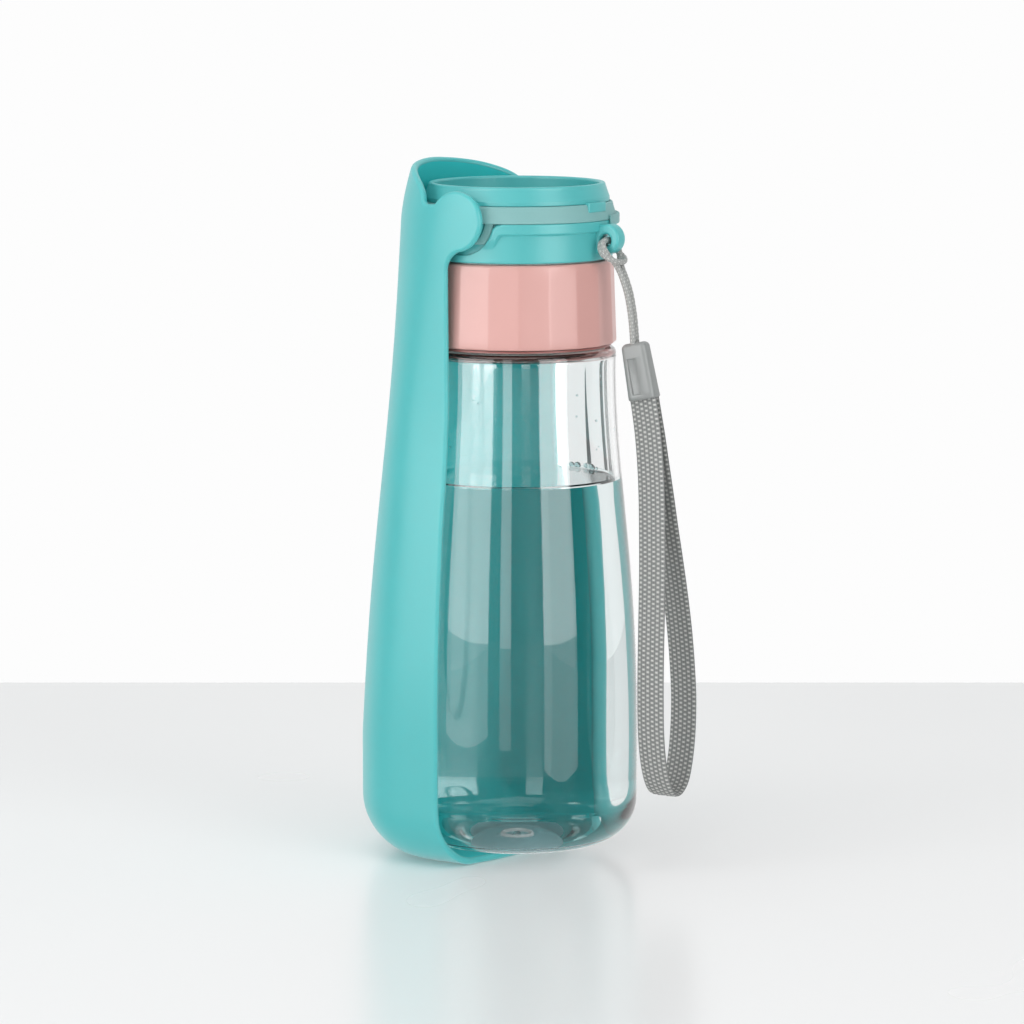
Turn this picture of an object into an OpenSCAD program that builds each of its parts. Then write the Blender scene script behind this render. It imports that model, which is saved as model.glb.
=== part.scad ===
// Travel water bottle for dogs: a clear bottle with a turning lock collar, and a long drinking tray
// that stows round the back and under the base, and swings up over the mouth on two side pins.
// The origin is on the bottle's axis, in the plane that the tray's foot stands on. +X is the front,
// where the wrist strap hangs, and the tray's hinge runs along Y.

/* [Bottle] */
// Height of the bottle's base over the floor, which leaves room for the tray's foot
base_z = 4.2; // [4.0:0.1:4.6]
// Largest outer radius, near the base
bottle_max_r = 39.2; // [38.6:0.1:39.3]
// Outer radius just below the shoulder
bottle_top_r = 32.0; // [31.4:0.1:32.2]
// Radius of the rounded corner at the base
base_corner_r = 14; // [12:1:15]
// Thickness of the bottle's wall
bottle_wall = 2.2; // [1.6:0.1:2.6]

/* [Head] */
// Height of the mouth's rim over the floor
mouth_z = 219; // [218:0.5:219.5]
// Outer radius of the mouth's rim
mouth_r = 28.6; // [28.2:0.1:28.8]
// Number of flats round the lock collar
collar_flats = 20; // [14:2:28]
// Corner radius of the collar at its lower edge
collar_low_r = 32.2; // [31.8:0.1:32.6]
// Corner radius of the collar at its upper edge
collar_high_r = 31.2; // [31.0:0.1:31.4]
// Number of water ports in the valve
port_count = 3; // [2:1:3]

/* [Drinking tray] */
// Wall thickness of the tray
tray_wall = 2.3; // [2.0:0.1:2.4]
// Outer half width of the tray at its two flat ears
ear_y = 36.3; // [36.2:0.1:37.0]
// Outer half width of the tray round the bottle's widest part
tray_low_y = 42.2; // [42.0:0.1:43.0]
// Depth of the tray's back behind the axis, near the base
tray_deep_r = 50.4; // [49:0.2:52]
// Radius of the round ears
ear_r = 9.7; // [9.2:0.1:10.2]
// How far the foot's tongue reaches in front of the axis
tongue_x = 5.2; // [4.6:0.1:6.0]

/* [Wrist strap] */
// Diameter of the thin cord
cord_d = 1.9; // [1.6:0.1:2.1]
// Width of the flat webbing
webbing_w = 9.6; // [8:0.2:11]
// Thickness of the flat webbing
webbing_t = 1.3; // [1.0:0.1:1.6]

/* [Hidden] */
$fn = 96;

teal = "#76cfcf";
pink = "#f0c0ba";
grey_silicone = "#9fbcbc";
strap_grey = "#9e9e9c";

// Working distances
seat_gap = 0.05;
run_gap = 0.06;
clear_gap = 0.3;
far = 60;

// Bottle
barrel_low_z = 30;
barrel_high_z = 160;
barrel_bias = 1.35;
barrel_steps = 14;
shoulder_z = 164.1;
shoulder_r = 1.8;
shoulder_wall = 1.6;
neck_r = 24;
neck_bore_r = 21.2;
neck_top_z = 186;
thread_r = 25.2;
thread_h = 1.4;
thread_z = [171.5, 175.5, 179.5];
punt_r = 17;
punt_h = 1.8;
floor_t = 3.0;

// Core that screws on the neck and holds the valve
core_r = 28.6;
core_low_z = 166.3;
core_bore_r = 25.5;
core_thread_r = 24.4;
core_top_z = 195.95;
gasket_h = 1.6;
ledge_z = neck_top_z + gasket_h;
ledge_h = 0.7;
ledge_r = 21.6;
chamber_r = 24.0;

// Valve, turned by the collar through two windows in the core
rotor_r = 23.7;
rotor_low_z = 188.5;
rotor_high_z = 195.0;
valve_gasket_r = 23.2;
port_in_r = 7;
port_out_r = 18.5;
port_angle = 48;
valve_turn = 60;
key_w = 4;
key_h = 2.0;
key_z = 191.7;
key_in_r = 20;
key_out_r = 29.9;
key_angles = [90, 270];
oring_r = 0.8;
oring_z = [189.6, 193.8];
pin_stem_r = 2.0;
pin_head_r = 4.4;
pin_head_z = [184.6, 187.4];
pin_top_z = 197.8;
washer_z = [187.5, 188.4];

// Collar
collar_low_z = 167.5;
collar_high_z = 194.5;
collar_phase = -3.8;
retainer_r = 30.4;
retainer_z = [166.55, 167.2];

// Head above the collar
cup_floor_z = [196.0, 198.6];
cup_low_r = 26.4;
cup_high_r = 26.9;
cup_out_r = 28.5;
shell_r = 30.8;
shell_z = [195.0, 207.6];
bead_r = 32.0;
bead_z = 204.0;
seal_high_z = 213.0;
seal_high_r = 30.9;
seal_low_r = 32.0;
rim_low_r = 29.8;
rim_round = 1.0;
key_tab_r = 31.5;
key_tab_z = [210.5, 213.3];
key_tab_y = 4.9;
key_tab_turn = -3.5;
flap_r = [32.1, 33.0];
flap_z = [205.9, 209.2];
flap_angles = [7, 58];

// Lug for the wrist cord
lug_x = 34.4;
lug_z = 201.8;
lug_r = 4.6;
lug_hole_x = 34.0;
lug_hole_z = 201.6;
lug_hole_r = 1.9;
lug_half_t = 2.4;

// Hinge of the tray
hinge_x = -2.0;
hinge_z = 208.3;
pin_r = 2.5;
pin_in_y = 29.0;
pin_out_y = 35.3;
hub_r = 7.8;
hub_y = 33.0;
hub_clear = 0.3;
seal_bridge_z = 212.0;
pad_r = 8.2;
pad_y = 33.4;
border_out_r = 13.7;
border_low_z = 200.8;
recess_r = 29.9;
recess_round_r = 11.0;
recess_corner = 3.0;
saddle_low_z = 201.0;

// Tray
tray_top_low_z = 205;
tray_deep_z = 40;
tray_top_r = 37.4;
tray_wave = 0.65;
tray_back_corner = 20;
tray_side_corner = 16;
foot_t = 2.2;
edge_x = -5;
edge_low_z = 22;
tongue_arc_r = 70;
fillet_r = 6;
side_waist = 1.0;
waist_z = [200, 110];
side_z = [150, 46];
tray_steps = 13;
hood_out = [[37.1, 209.5], [36.6, 213], [35.9, 216.4], [35.1, 219.6], [34.3, 222.6], [33.6, 224.6], [32.5, 226]];
hood_in = [[34.8, 209.5], [34.4, 213], [33.8, 216.6], [33.0, 219.6], [32.1, 222.6], [31.4, 224.8], [31.7, 225.7]];
notch_x = -12.6;
notch_z = 212.9;
notch_r = 1.8;
rim_line = [
    [-15.4, 215.4], [-17.2, 218], [-20, 219.8], [-24, 221.7], [-27.6, 223.5], [-32, 225.6], [-36, 226.6]
];

// Route of the thin cord, from the clip up through the lug and back, round numbers in mm
cord_route = [
    [43.8, -1.05, 168.0], [43.2, -1.05, 175.0], [42.5, -1.05, 180.0], [41.4, -1.05, 185.0], [40.0, -1.05, 189.0],
    [38.5, -1.1, 192.3], [37.3, -1.8, 194.5], [36.3, -3.2, 196.3], [35.4, -4.2, 198.1], [34.6, -4.4, 199.8],
    [34.1, -3.6, 201.2], [34.0, -1.8, 201.6], [34.0, 0.0, 201.6], [34.0, 1.8, 201.6], [34.1, 3.6, 201.2],
    [34.6, 4.4, 199.8], [35.4, 4.2, 198.1], [36.3, 3.2, 196.3], [37.3, 1.8, 194.5], [38.5, 1.1, 192.3],
    [40.0, 1.05, 189.0], [41.4, 1.05, 185.0], [42.5, 1.05, 180.0], [43.2, 1.05, 175.0], [43.8, 1.05, 168.0]
];
// Route of the webbing's loop, from the clip down and back up to it
webbing_route = [
    [47.2, -1.0, 153.0], [48.3, -1.1, 147.0], [49.5, -1.4, 140.0], [50.7, -2.0, 131.0], [51.8, -3.0, 121.0],
    [52.8, -4.4, 110.0], [53.8, -6.0, 99.0], [54.6, -7.6, 88.0], [55.2, -9.0, 77.0], [55.6, -10.0, 66.0],
    [55.9, -10.5, 55.0], [56.0, -10.2, 45.0], [56.1, -8.8, 36.0], [56.2, -6.2, 29.0], [56.2, -2.4, 25.0],
    [56.2, 2.0, 24.8], [56.2, 6.2, 28.4], [56.1, 9.2, 36.0], [56.0, 10.8, 45.0], [55.9, 11.2, 55.0],
    [55.6, 10.6, 66.0], [55.2, 9.4, 77.0], [54.6, 7.8, 88.0], [53.8, 6.1, 99.0], [52.8, 4.5, 110.0],
    [51.8, 3.1, 121.0], [50.7, 2.0, 131.0], [49.5, 1.4, 140.0], [48.3, 1.1, 147.0], [47.2, 1.0, 153.0]
];
clip_top = [43.75, 0, 169.3];
clip_bottom = [47.4, 0, 151.4];
clip_w = 9.8;
clip_t = 5.8;
clip_round = 1.6;
window_w = 3.0;
window_h = 11.5;
window_depth = 0.8;

// Points of an arc about a centre, from one angle to another
function arc(c, r, from, to, steps = 5) =
    [for (i = [0 : steps]) c + r * [cos(from + (to - from) * i / steps), sin(from + (to - from) * i / steps)]];

// A list of points the other way round
function backward(p) = [for (i = [len(p) - 1 : -1 : 0]) p[i]];

// Outer radius of the bottle's barrel at a height
function barrel_r(z) =
    bottle_top_r + (bottle_max_r - bottle_top_r)
    * (0.5 + 0.5 * cos(180 * pow(max(0, z - barrel_low_z) / (barrel_high_z - barrel_low_z), barrel_bias)));

// Outline of the barrel from the base corner up to the shoulder, inset by a distance
function barrel_line(inset) = [
    for (i = [0 : barrel_steps])
        let (z = barrel_low_z + (shoulder_z - barrel_low_z) * i / barrel_steps)
        [barrel_r(z) - inset, z]
];

// Outer radius of the tray's back at a height
function tray_back_r(z) =
    let (t = min(1, (tray_top_low_z - z) / (tray_top_low_z - tray_deep_z)))
    tray_top_r + (tray_deep_r - tray_top_r) * t - tray_wave * sin(360 * t);

// Outline of the tray's back from the foot up to the hood, inset by a distance
function tray_back_line(inset) = [
    for (i = [0 : tray_steps])
        let (z = tray_deep_z - 10 + (tray_top_low_z - tray_deep_z + 10) * i / tray_steps)
        [tray_back_r(z) - inset, z]
];

// Half width of the tray at a height: flat at the ears, then wider round the bottle's barrel
function tray_half_y(z) =
    let (
        t = max(0, min(1, (side_z[0] - z) / (side_z[0] - side_z[1]))),
        u = max(0, min(1, (waist_z[0] - z) / (waist_z[0] - waist_z[1])))
    )
    ear_y + (tray_low_y - ear_y) * (0.5 - 0.5 * cos(180 * pow(t, 0.85))) - side_waist * sin(180 * u);

// Outline of the tray's side from the foot up to the ears, inset by a distance
function tray_side_line(inset) = [
    for (i = [0 : tray_steps])
        let (z = side_z[1] - 10 + (waist_z[0] - side_z[1] + 10) * i / tray_steps)
        [tray_half_y(z) - inset, z]
];

module at_hinge() {
    translate([hinge_x, 0, hinge_z]) children();
}

// A bar along Y about the hinge axis, on one side or the other
module hinge_bar(r, from_y, to_y, side) {
    at_hinge() translate([0, side > 0 ? to_y : -from_y, 0]) rotate([90, 0, 0]) cylinder(r = r, h = to_y - from_y);
}

// A bar like it whose top flares out into the edge of the shell
module recess(r, side) {
    rise = hinge_z - shell_z[1] + recess_corner;
    across = sqrt(pow(r + recess_corner, 2) - pow(rise, 2));
    turn = asin(rise / (r + recess_corner));
    at_hinge() translate([0, side > 0 ? far : -20, 0]) rotate([90, 0, 0]) linear_extrude(far - 20)
        polygon(concat(
            arc([across, -rise], recess_corner, 90, 180 - turn, 5),
            arc([0, 0], r, -turn - 4, turn - 176, 24),
            arc([-across, -rise], recess_corner, turn, 90, 5),
            [[-across, 1], [across, 1]]
        ));
}

// A round washer shape about Z
module ring(r_out, r_in, low_z, high_z) {
    difference() {
        translate([0, 0, low_z]) cylinder(r = r_out, h = high_z - low_z);
        translate([0, 0, low_z - 1]) cylinder(r = r_in, h = high_z - low_z + 2);
    }
}

// A wedge about Z between two angles
module wedge(r, from, to, low_z, high_z) {
    translate([0, 0, low_z]) linear_extrude(high_z - low_z) polygon(concat([[0, 0]], arc([0, 0], r, from, to, 4)));
}

// The valve's ports, each a sector of a ring
module ports(turn, low_z, high_z) {
    for (i = [0 : port_count - 1])
        intersection() {
            ring(port_out_r, port_in_r, low_z, high_z);
            wedge(port_out_r * 1.5, turn + i * 360 / port_count - port_angle / 2,
                  turn + i * 360 / port_count + port_angle / 2, low_z - 1, high_z + 1);
        }
}

// A tube swept along a route. Every ring is w across, along X as far as the route allows, and t thick
module swept(route, w, t, sides) {
    last = len(route) - 1;
    rings = [
        for (i = [0 : last])
            let (
                ahead = route[min(last, i + 1)] - route[max(0, i - 1)],
                along = ahead / norm(ahead),
                flat = [1, 0, 0] - along[0] * along,
                across = flat / norm(flat),
                thick = cross(along, across)
            )
            for (k = [0 : sides - 1])
                let (a = (k + 0.5) * 360 / sides)
                route[i] + across * (w / 2) * cos(a) / cos(180 / sides) + thick * (t / 2) * sin(a) / cos(180 / sides)
    ];
    faces = concat(
        [[for (k = [sides - 1 : -1 : 0]) k]],
        [for (i = [0 : last - 1]) for (k = [0 : sides - 1])
            [i * sides + k, i * sides + (k + 1) % sides, (i + 1) * sides + (k + 1) % sides, (i + 1) * sides + k]],
        [[for (k = [0 : sides - 1]) last * sides + k]]
    );
    polyhedron(points = rings, faces = faces, convexity = 6);
}

module bottle() {
    corner_x = bottle_max_r - base_corner_r;
    corner_c = [corner_x, base_z + base_corner_r];
    shoulder_c = [barrel_r(shoulder_z) - shoulder_r, shoulder_z];
    top_z = shoulder_z + shoulder_r;
    roof_z = top_z - shoulder_wall;
    color("#dfeef0", 0.4) {
        rotate_extrude() polygon(concat(
            [[0, base_z + punt_h], [punt_r - 4, base_z + punt_h], [punt_r, base_z]],
            arc(corner_c, base_corner_r, -90, 0, 6),
            barrel_line(0),
            arc(shoulder_c, shoulder_r, 18, 90, 4),
            [[neck_r, top_z], [neck_r, neck_top_z], [neck_bore_r, neck_top_z], [neck_bore_r, roof_z],
             [barrel_r(shoulder_z) - bottle_wall - 0.2, roof_z]],
            backward(barrel_line(bottle_wall)),
            arc(corner_c, base_corner_r - bottle_wall, 0, -65, 4),
            [[punt_r, base_z + floor_t], [punt_r - 5, base_z + punt_h + floor_t], [0, base_z + punt_h + floor_t]]
        ));
        for (z = thread_z) ring(thread_r, neck_r - 0.5, z, z + thread_h);
    }
}

module neck_gasket() {
    color("#e8e8e6") ring(neck_r - 0.1, neck_bore_r + 0.4, neck_top_z, ledge_z);
}

module head_core() {
    half = asin(key_w / 2 / core_r) + 1.5;
    window_h = key_h + 0.6;
    color("#f1f2f0") difference() {
        union() {
            rotate_extrude() polygon([
                [core_bore_r, core_low_z], [core_r, core_low_z], [core_r, core_top_z], [chamber_r, core_top_z],
                [chamber_r, ledge_z + ledge_h], [ledge_r, ledge_z + ledge_h], [ledge_r, ledge_z],
                [core_bore_r, ledge_z]
            ]);
            for (z = thread_z) ring(core_bore_r + 0.5, core_thread_r, z - 0.2 - thread_h, z - 0.2);
        }
        for (a = key_angles)
            intersection() {
                ring(core_r + 1, chamber_r - 1, key_z - window_h / 2, key_z + window_h / 2);
                wedge(core_r * 1.5, a - half, a + valve_turn + half, key_z - window_h, key_z + window_h);
            }
    }
}

module head_shell() {
    color(teal) difference() {
        union() {
            difference() {
                union() {
                    ring(shell_r, core_r + seat_gap, shell_z[0], shell_z[1]);
                    ring(bead_r, shell_r - 0.5, bead_z, shell_z[1]);
                    // The bead turns down round each ear
                    for (s = [1, -1])
                        intersection() {
                            hinge_bar(border_out_r, 20, far, s);
                            ring(bead_r, shell_r - 0.5, border_low_z, shell_z[1]);
                        }
                }
                // Cut back round each hub, where the seal shows
                for (s = [1, -1])
                    intersection() {
                        recess(recess_round_r, s);
                        ring(far, recess_r, shell_z[0], shell_z[1] + 2);
                    }
            }
            for (s = [1, -1])
                intersection() {
                    hinge_bar(hub_r, 20, hub_y, s);
                    translate([-far, -far, shell_z[0]]) cube([2 * far, 2 * far, seal_high_z - 0.1 - shell_z[0]]);
                }
            translate([lug_x, lug_half_t, lug_z]) rotate([90, 0, 0]) cylinder(r = lug_r, h = 2 * lug_half_t);
            translate([shell_r - 1.5, -lug_half_t, lug_z - lug_r])
                cube([lug_x - shell_r + 1.5, 2 * lug_half_t, 2 * lug_r - 1.2]);
        }
        translate([0, 0, shell_z[0] - 1]) cylinder(r = core_r + seat_gap, h = 30);
        // Leaves room for the seal, which runs over the hubs
        translate([0, 0, seal_bridge_z - seat_gap]) cylinder(r = seal_high_r + clear_gap, h = 10);
        for (s = [1, -1]) hinge_bar(pin_r + run_gap, 20, far, s);
        translate([lug_hole_x, far, lug_hole_z]) rotate([90, 0, 0]) cylinder(r = lug_hole_r, h = 2 * far);
    }
}

module mouth_ring() {
    color(teal) difference() {
        union() {
            rotate_extrude() polygon(concat(
                [[0, cup_floor_z[0]], [cup_out_r, cup_floor_z[0]], [cup_out_r, seal_high_z + seat_gap],
                 [rim_low_r, seal_high_z + seat_gap], [rim_low_r, seal_high_z + 1.2]],
                arc([mouth_r - rim_round, mouth_z - rim_round], rim_round, 10, 170, 6),
                [[cup_high_r - 0.2, mouth_z - 3], [cup_low_r, cup_floor_z[1] + 2], [cup_low_r - 1.5, cup_floor_z[1]],
                 [0, cup_floor_z[1]]]
            ));
            intersection() {
                rotate([0, 0, key_tab_turn]) translate([cup_low_r + 1, -key_tab_y, key_tab_z[0]])
                    cube([key_tab_r - cup_low_r, 2 * key_tab_y, key_tab_z[1] - key_tab_z[0]]);
                cylinder(r = key_tab_r, h = mouth_z);
            }
        }
        ports(0, cup_floor_z[0] - 1, cup_floor_z[1] + 1);
        translate([0, 0, cup_floor_z[0] - 1]) cylinder(r = pin_stem_r + 0.02, h = pin_top_z + 0.1 - cup_floor_z[0] + 1);
    }
}

module tray_seal() {
    color(grey_silicone) difference() {
        union() {
            rotate_extrude() polygon([
                [cup_out_r + seat_gap, shell_z[1] + seat_gap], [seal_low_r, shell_z[1] + seat_gap],
                [seal_low_r, shell_z[1] + 0.8], [seal_high_r, seal_high_z - 1.4],
                [seal_high_r - 0.2, seal_high_z - 0.4], [seal_high_r - 0.7, seal_high_z],
                [cup_out_r + seat_gap, seal_high_z]
            ]);
            // It reaches down on both sides of each hub
            for (s = [1, -1])
                intersection() {
                    hinge_bar(recess_round_r - 0.1, 20, far, s);
                    ring(seal_high_r, recess_r + seat_gap, saddle_low_z, shell_z[1] + 0.5);
                }
            // Flap for pulling it off, which hangs over the shell's bead
            intersection() {
                union() {
                    ring(flap_r[1], flap_r[0], flap_z[0], flap_z[1]);
                    ring(flap_r[1], seal_low_r - 1.5, shell_z[1] + seat_gap, flap_z[1]);
                }
                wedge(far, flap_angles[0], flap_angles[1], flap_z[0] - 1, flap_z[1] + 1);
            }
        }
        for (s = [1, -1])
            intersection() {
                hinge_bar(hub_r + hub_clear, 20, far, s);
                translate([-far, -far, 0]) cube([2 * far, 2 * far, seal_bridge_z]);
            }
        rotate([0, 0, key_tab_turn]) translate([cup_low_r, -key_tab_y - 0.1, key_tab_z[0] - 0.1])
            cube([key_tab_r - cup_low_r + 2, 2 * key_tab_y + 0.2, mouth_z - key_tab_z[0]]);
    }
}

module valve_gasket() {
    color("#c9d2d2") difference() {
        ring(valve_gasket_r, pin_stem_r + 0.3, rotor_high_z + run_gap, core_top_z + 0.05);
        ports(0, rotor_high_z - 1, core_top_z + 1);
    }
}

module rotor_pin() {
    color("#b8bcbd") {
        translate([0, 0, pin_head_z[1] - 0.2]) cylinder(r = pin_stem_r, h = pin_top_z - pin_head_z[1] + 0.2);
        translate([0, 0, pin_head_z[0]]) cylinder(r = pin_head_r, h = pin_head_z[1] - pin_head_z[0]);
    }
}

module wave_washer() {
    color("#b8bcbd") ring(pin_head_r, pin_stem_r + 0.1, washer_z[0], washer_z[1]);
}

module collar_retainer() {
    color(pink) ring(retainer_r, core_r + seat_gap, retainer_z[0], retainer_z[1]);
}

module lock_collar() {
    color(pink) difference() {
        translate([0, 0, collar_low_z]) rotate([0, 0, collar_phase])
            linear_extrude(collar_high_z - collar_low_z, scale = collar_high_r / collar_low_r)
                polygon([for (i = [0 : collar_flats - 1])
                    collar_low_r * [cos(i * 360 / collar_flats), sin(i * 360 / collar_flats)]]);
        translate([0, 0, collar_low_z - 1]) cylinder(r = core_r + clear_gap, h = collar_high_z - collar_low_z + 2);
        for (a = key_angles) rotate([0, 0, a])
            translate([core_r - 2, -key_w / 2 - 0.05, key_z - key_h / 2 - 0.05])
                cube([key_out_r - core_r + 2.1, key_w + 0.1, key_h + 0.1]);
    }
}

module drive_keys() {
    color("#f1f2f0") for (a = key_angles) rotate([0, 0, a])
        translate([key_in_r, -key_w / 2, key_z - key_h / 2]) cube([key_out_r - key_in_r, key_w, key_h]);
}

module valve_rotor() {
    color("#dfe6e6") difference() {
        ring(rotor_r, pin_stem_r + run_gap, rotor_low_z, rotor_high_z);
        ports(360 / port_count / 2, rotor_low_z - 1, rotor_high_z + 1);
        for (z = oring_z) ring(rotor_r + 1, chamber_r - 2 * oring_r - 0.1, z - oring_r - 0.1, z + oring_r + 0.1);
        for (a = key_angles) rotate([0, 0, a])
            translate([key_in_r - 0.1, -key_w / 2 - 0.05, key_z - key_h / 2 - 0.05]) cube([10, key_w + 0.1, key_h + 0.1]);
    }
}

module rotor_o_rings() {
    color("#3c4243") for (z = oring_z)
        translate([0, 0, z]) rotate_extrude() translate([chamber_r - run_gap - oring_r, 0]) circle(r = oring_r);
}

// The outside of the tray, or with an inset the space inside it, before its front is cut open
module tray_body(inset, hood, low_z) {
    back_c = [tray_deep_r - tray_back_corner, tray_back_corner];
    side_c = [tray_low_y - tray_side_corner, tray_side_corner];
    top_z = hood[len(hood) - 1][1];
    side = concat(
        arc(side_c, tray_side_corner - inset, -90, 0, 5),
        tray_side_line(inset),
        [[ear_y - inset, top_z + 1]]
    );
    intersection() {
        rotate_extrude() polygon(concat(
            [[0, low_z]], arc(back_c, tray_back_corner - inset, -90, 0, 6), tray_back_line(inset), hood, [[0, top_z]]
        ));
        translate([-far, 0, 0]) rotate([90, 0, 90]) linear_extrude(2 * far)
            polygon(concat(side, backward([for (p = side) [-p[0], p[1]]])));
    }
}

// Side view of the part of the tray that is kept, as a slab right across the tray
module tray_side_view() {
    fillet_x = edge_x + fillet_r;
    fillet_drop = sqrt(pow(ear_r + fillet_r, 2) - pow(fillet_x - hinge_x, 2));
    fillet_end = atan2(-fillet_drop, fillet_x - hinge_x);
    translate([0, far, 0]) rotate([90, 0, 0]) linear_extrude(2 * far) polygon(concat(
        [[-far, -1], [tongue_x + 1, -1], [tongue_x + 1, foot_t + 0.2], [0.6, 4.2], [-2.4, 8], [-4.2, 14]],
        [[edge_x, edge_low_z]],
        arc([fillet_x, hinge_z - fillet_drop], fillet_r, 180, 180 + fillet_end, 5),
        arc([hinge_x, hinge_z], ear_r, fillet_end, 150, 16),
        arc([notch_x, notch_z], notch_r, -15, -160, 6),
        rim_line,
        [[-far, 232]]
    ));
}

module drinking_tray() {
    color(teal) difference() {
        union() {
            intersection() {
                difference() {
                    tray_body(0, hood_out, 0);
                    tray_body(tray_wall, hood_in, foot_t);
                    // Opens the hood right up, above its inner lip
                    translate([0, 0, 225.6]) cylinder(r = 31.8, h = 4);
                }
                tray_side_view();
                union() {
                    translate([tongue_x - tongue_arc_r, 0, -1]) cylinder(r = tongue_arc_r, h = edge_low_z);
                    translate([edge_x - far, -far, -1]) cube([far, 2 * far, edge_low_z]);
                    translate([-far, -far, edge_low_z - 2]) cube([2 * far, 2 * far, 240]);
                }
            }
            for (s = [1, -1]) hinge_bar(pad_r, pad_y, ear_y - 1, s);
        }
        for (s = [1, -1]) hinge_bar(pin_r + 0.02, pad_y - 3, pin_out_y + 0.1, s);
    }
}

module hinge_pin(side) {
    color("#b8bcbd") hinge_bar(pin_r, pin_in_y, pin_out_y, side);
}

module hinge_washer(side) {
    color("#dfe6e6") difference() {
        hinge_bar(hub_r - 1.4, hub_y + seat_gap, pad_y - seat_gap, side);
        hinge_bar(pin_r + 0.15, hub_y - 1, pad_y + 1, side);
    }
}

module wrist_cord() {
    color(strap_grey) swept(cord_route, cord_d, cord_d, 8);
}

module cord_clip() {
    run = clip_top - clip_bottom;
    lean = atan2(run[0], run[2]);
    h = norm(run);
    color("#9a9d9c") translate(clip_bottom) rotate([0, lean, 0]) difference() {
        hull() for (x = [-1, 1]) for (y = [-1, 1])
            translate([x * (clip_w / 2 - clip_round), y * (clip_t / 2 - clip_round), 0])
                cylinder(r = clip_round, h = h, $fn = 24);
        for (y = [-1, 1])
            translate([-window_w / 2 - 1.2, y * clip_t / 2 - window_depth, h * 0.1])
                cube([window_w, 2 * window_depth, window_h]);
    }
}

module wrist_webbing() {
    color(strap_grey) swept(webbing_route, webbing_w, webbing_t, 4);
}

bottle();
neck_gasket();
head_core();
head_shell();
mouth_ring();
tray_seal();
valve_gasket();
rotor_pin();
wave_washer();
collar_retainer();
lock_collar();
drive_keys();
valve_rotor();
rotor_o_rings();
drinking_tray();
hinge_pin(1);  // hinge_pin_left
hinge_pin(-1);  // hinge_pin_right
hinge_washer(1);  // hinge_washer_left
hinge_washer(-1);  // hinge_washer_right
wrist_cord();
cord_clip();
wrist_webbing();
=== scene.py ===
"""Looks of a travel water bottle for dogs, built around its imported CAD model.

Lengths in the property groups are metres. Inside the mesh functions they are millimetres, as in the CAD
source, and mesh_piece() turns them to metres. +Z is up along the bottle, and +X is its front, where the strap
hangs.
"""

import math
from functools import partialmethod

import bmesh
import bpy
import numpy as np
from bpy.props import FloatProperty, IntProperty
from mathutils import Matrix, Vector
from mathutils.geometry import delaunay_2d_cdt


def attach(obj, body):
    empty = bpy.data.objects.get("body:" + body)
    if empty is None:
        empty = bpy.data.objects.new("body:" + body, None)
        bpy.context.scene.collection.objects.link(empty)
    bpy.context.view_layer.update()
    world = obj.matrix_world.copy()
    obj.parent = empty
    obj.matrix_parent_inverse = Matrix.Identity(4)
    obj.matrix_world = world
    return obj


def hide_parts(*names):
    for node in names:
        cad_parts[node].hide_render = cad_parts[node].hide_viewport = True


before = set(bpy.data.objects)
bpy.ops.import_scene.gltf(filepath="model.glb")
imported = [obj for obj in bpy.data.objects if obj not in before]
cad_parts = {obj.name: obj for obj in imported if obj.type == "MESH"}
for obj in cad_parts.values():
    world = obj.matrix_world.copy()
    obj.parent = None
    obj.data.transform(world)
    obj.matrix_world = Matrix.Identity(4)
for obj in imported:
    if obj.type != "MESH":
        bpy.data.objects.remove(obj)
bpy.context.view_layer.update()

bl_info = {
    "name": "Dog Travel Water Bottle",
    "version": (1, 0, 0),
    "blender": (4, 5, 0),
    "location": "3D View > Sidebar > Bottle",
    "description": "Builds a clear travel bottle with a lock collar, a swinging tray and a wrist strap",
    "category": "Add Mesh",
}

MM = 0.001

# Where the photograph was taken from, and how
IMAGE_SIDE = 1024
CAMERA_AT = (0.7744, -1.2888, 0.3249)
CAMERA_AIM = (0.0, 0.0, 0.1117)
CAMERA_LENS = 164.5
AXIS_OFFSET_PX = 5
VIEW_AZIMUTH = 31.0

# Sizes shared with the CAD source, in mm
BASE_Z = 4.2
SHOULDER_Z = 164.1
SHOULDER_R = 1.8
TOP_Z = SHOULDER_Z + SHOULDER_R
THREAD_LEVELS = (171.5, 175.5, 179.5)
COLLAR_LOW, COLLAR_HIGH, COLLAR_BORE = 167.5, 194.5, 28.9
HINGE_X = -2.0
HINGE_Z = 208.3
HUB_R = 7.8
EAR_R = 9.7
EAR_Y = 36.3
SHELL_R = 30.8
SHELL_BORE = 28.65
BEAD_R = 32.0
SHELL_LOW, SHELL_HIGH = 195.0, 207.6
BEAD_LOW = 204.0
BORDER_R = 13.7
BORDER_LOW = 200.8
RECESS_R = 29.9
RECESS_ROUND_R = 11.0
RECESS_CORNER = 3.0
SADDLE_LOW = 201.0
SEAL_HIGH = 213.0
FLAP_FROM, FLAP_TO = 7.0, 58.0
TAB_TURN = -3.5

# How sharply the collar's flats meet, and how far round the first one starts
CRISP = 1500
COLLAR_PHASE = math.radians(-3.8)
STRAP_RING = 24


def mirrored(half, *middle):
    """A route's first half, its middle and the half's mirror image across the XZ plane."""
    return [*half, *middle, *((x, -y, z) for x, y, z in reversed(half))]


CORD_ROUTE = mirrored([
    (43.8, -1.05, 168.0), (43.2, -1.05, 175.0), (42.5, -1.05, 180.0), (41.4, -1.05, 185.0),
    (40.0, -1.05, 189.0), (38.5, -1.1, 192.3), (37.3, -1.8, 194.5), (36.3, -3.2, 196.3), (35.4, -4.2, 198.1),
    (34.6, -4.4, 199.8), (34.1, -3.6, 201.2), (34.0, -1.8, 201.6),
], (34.0, 0.0, 201.6))
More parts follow.
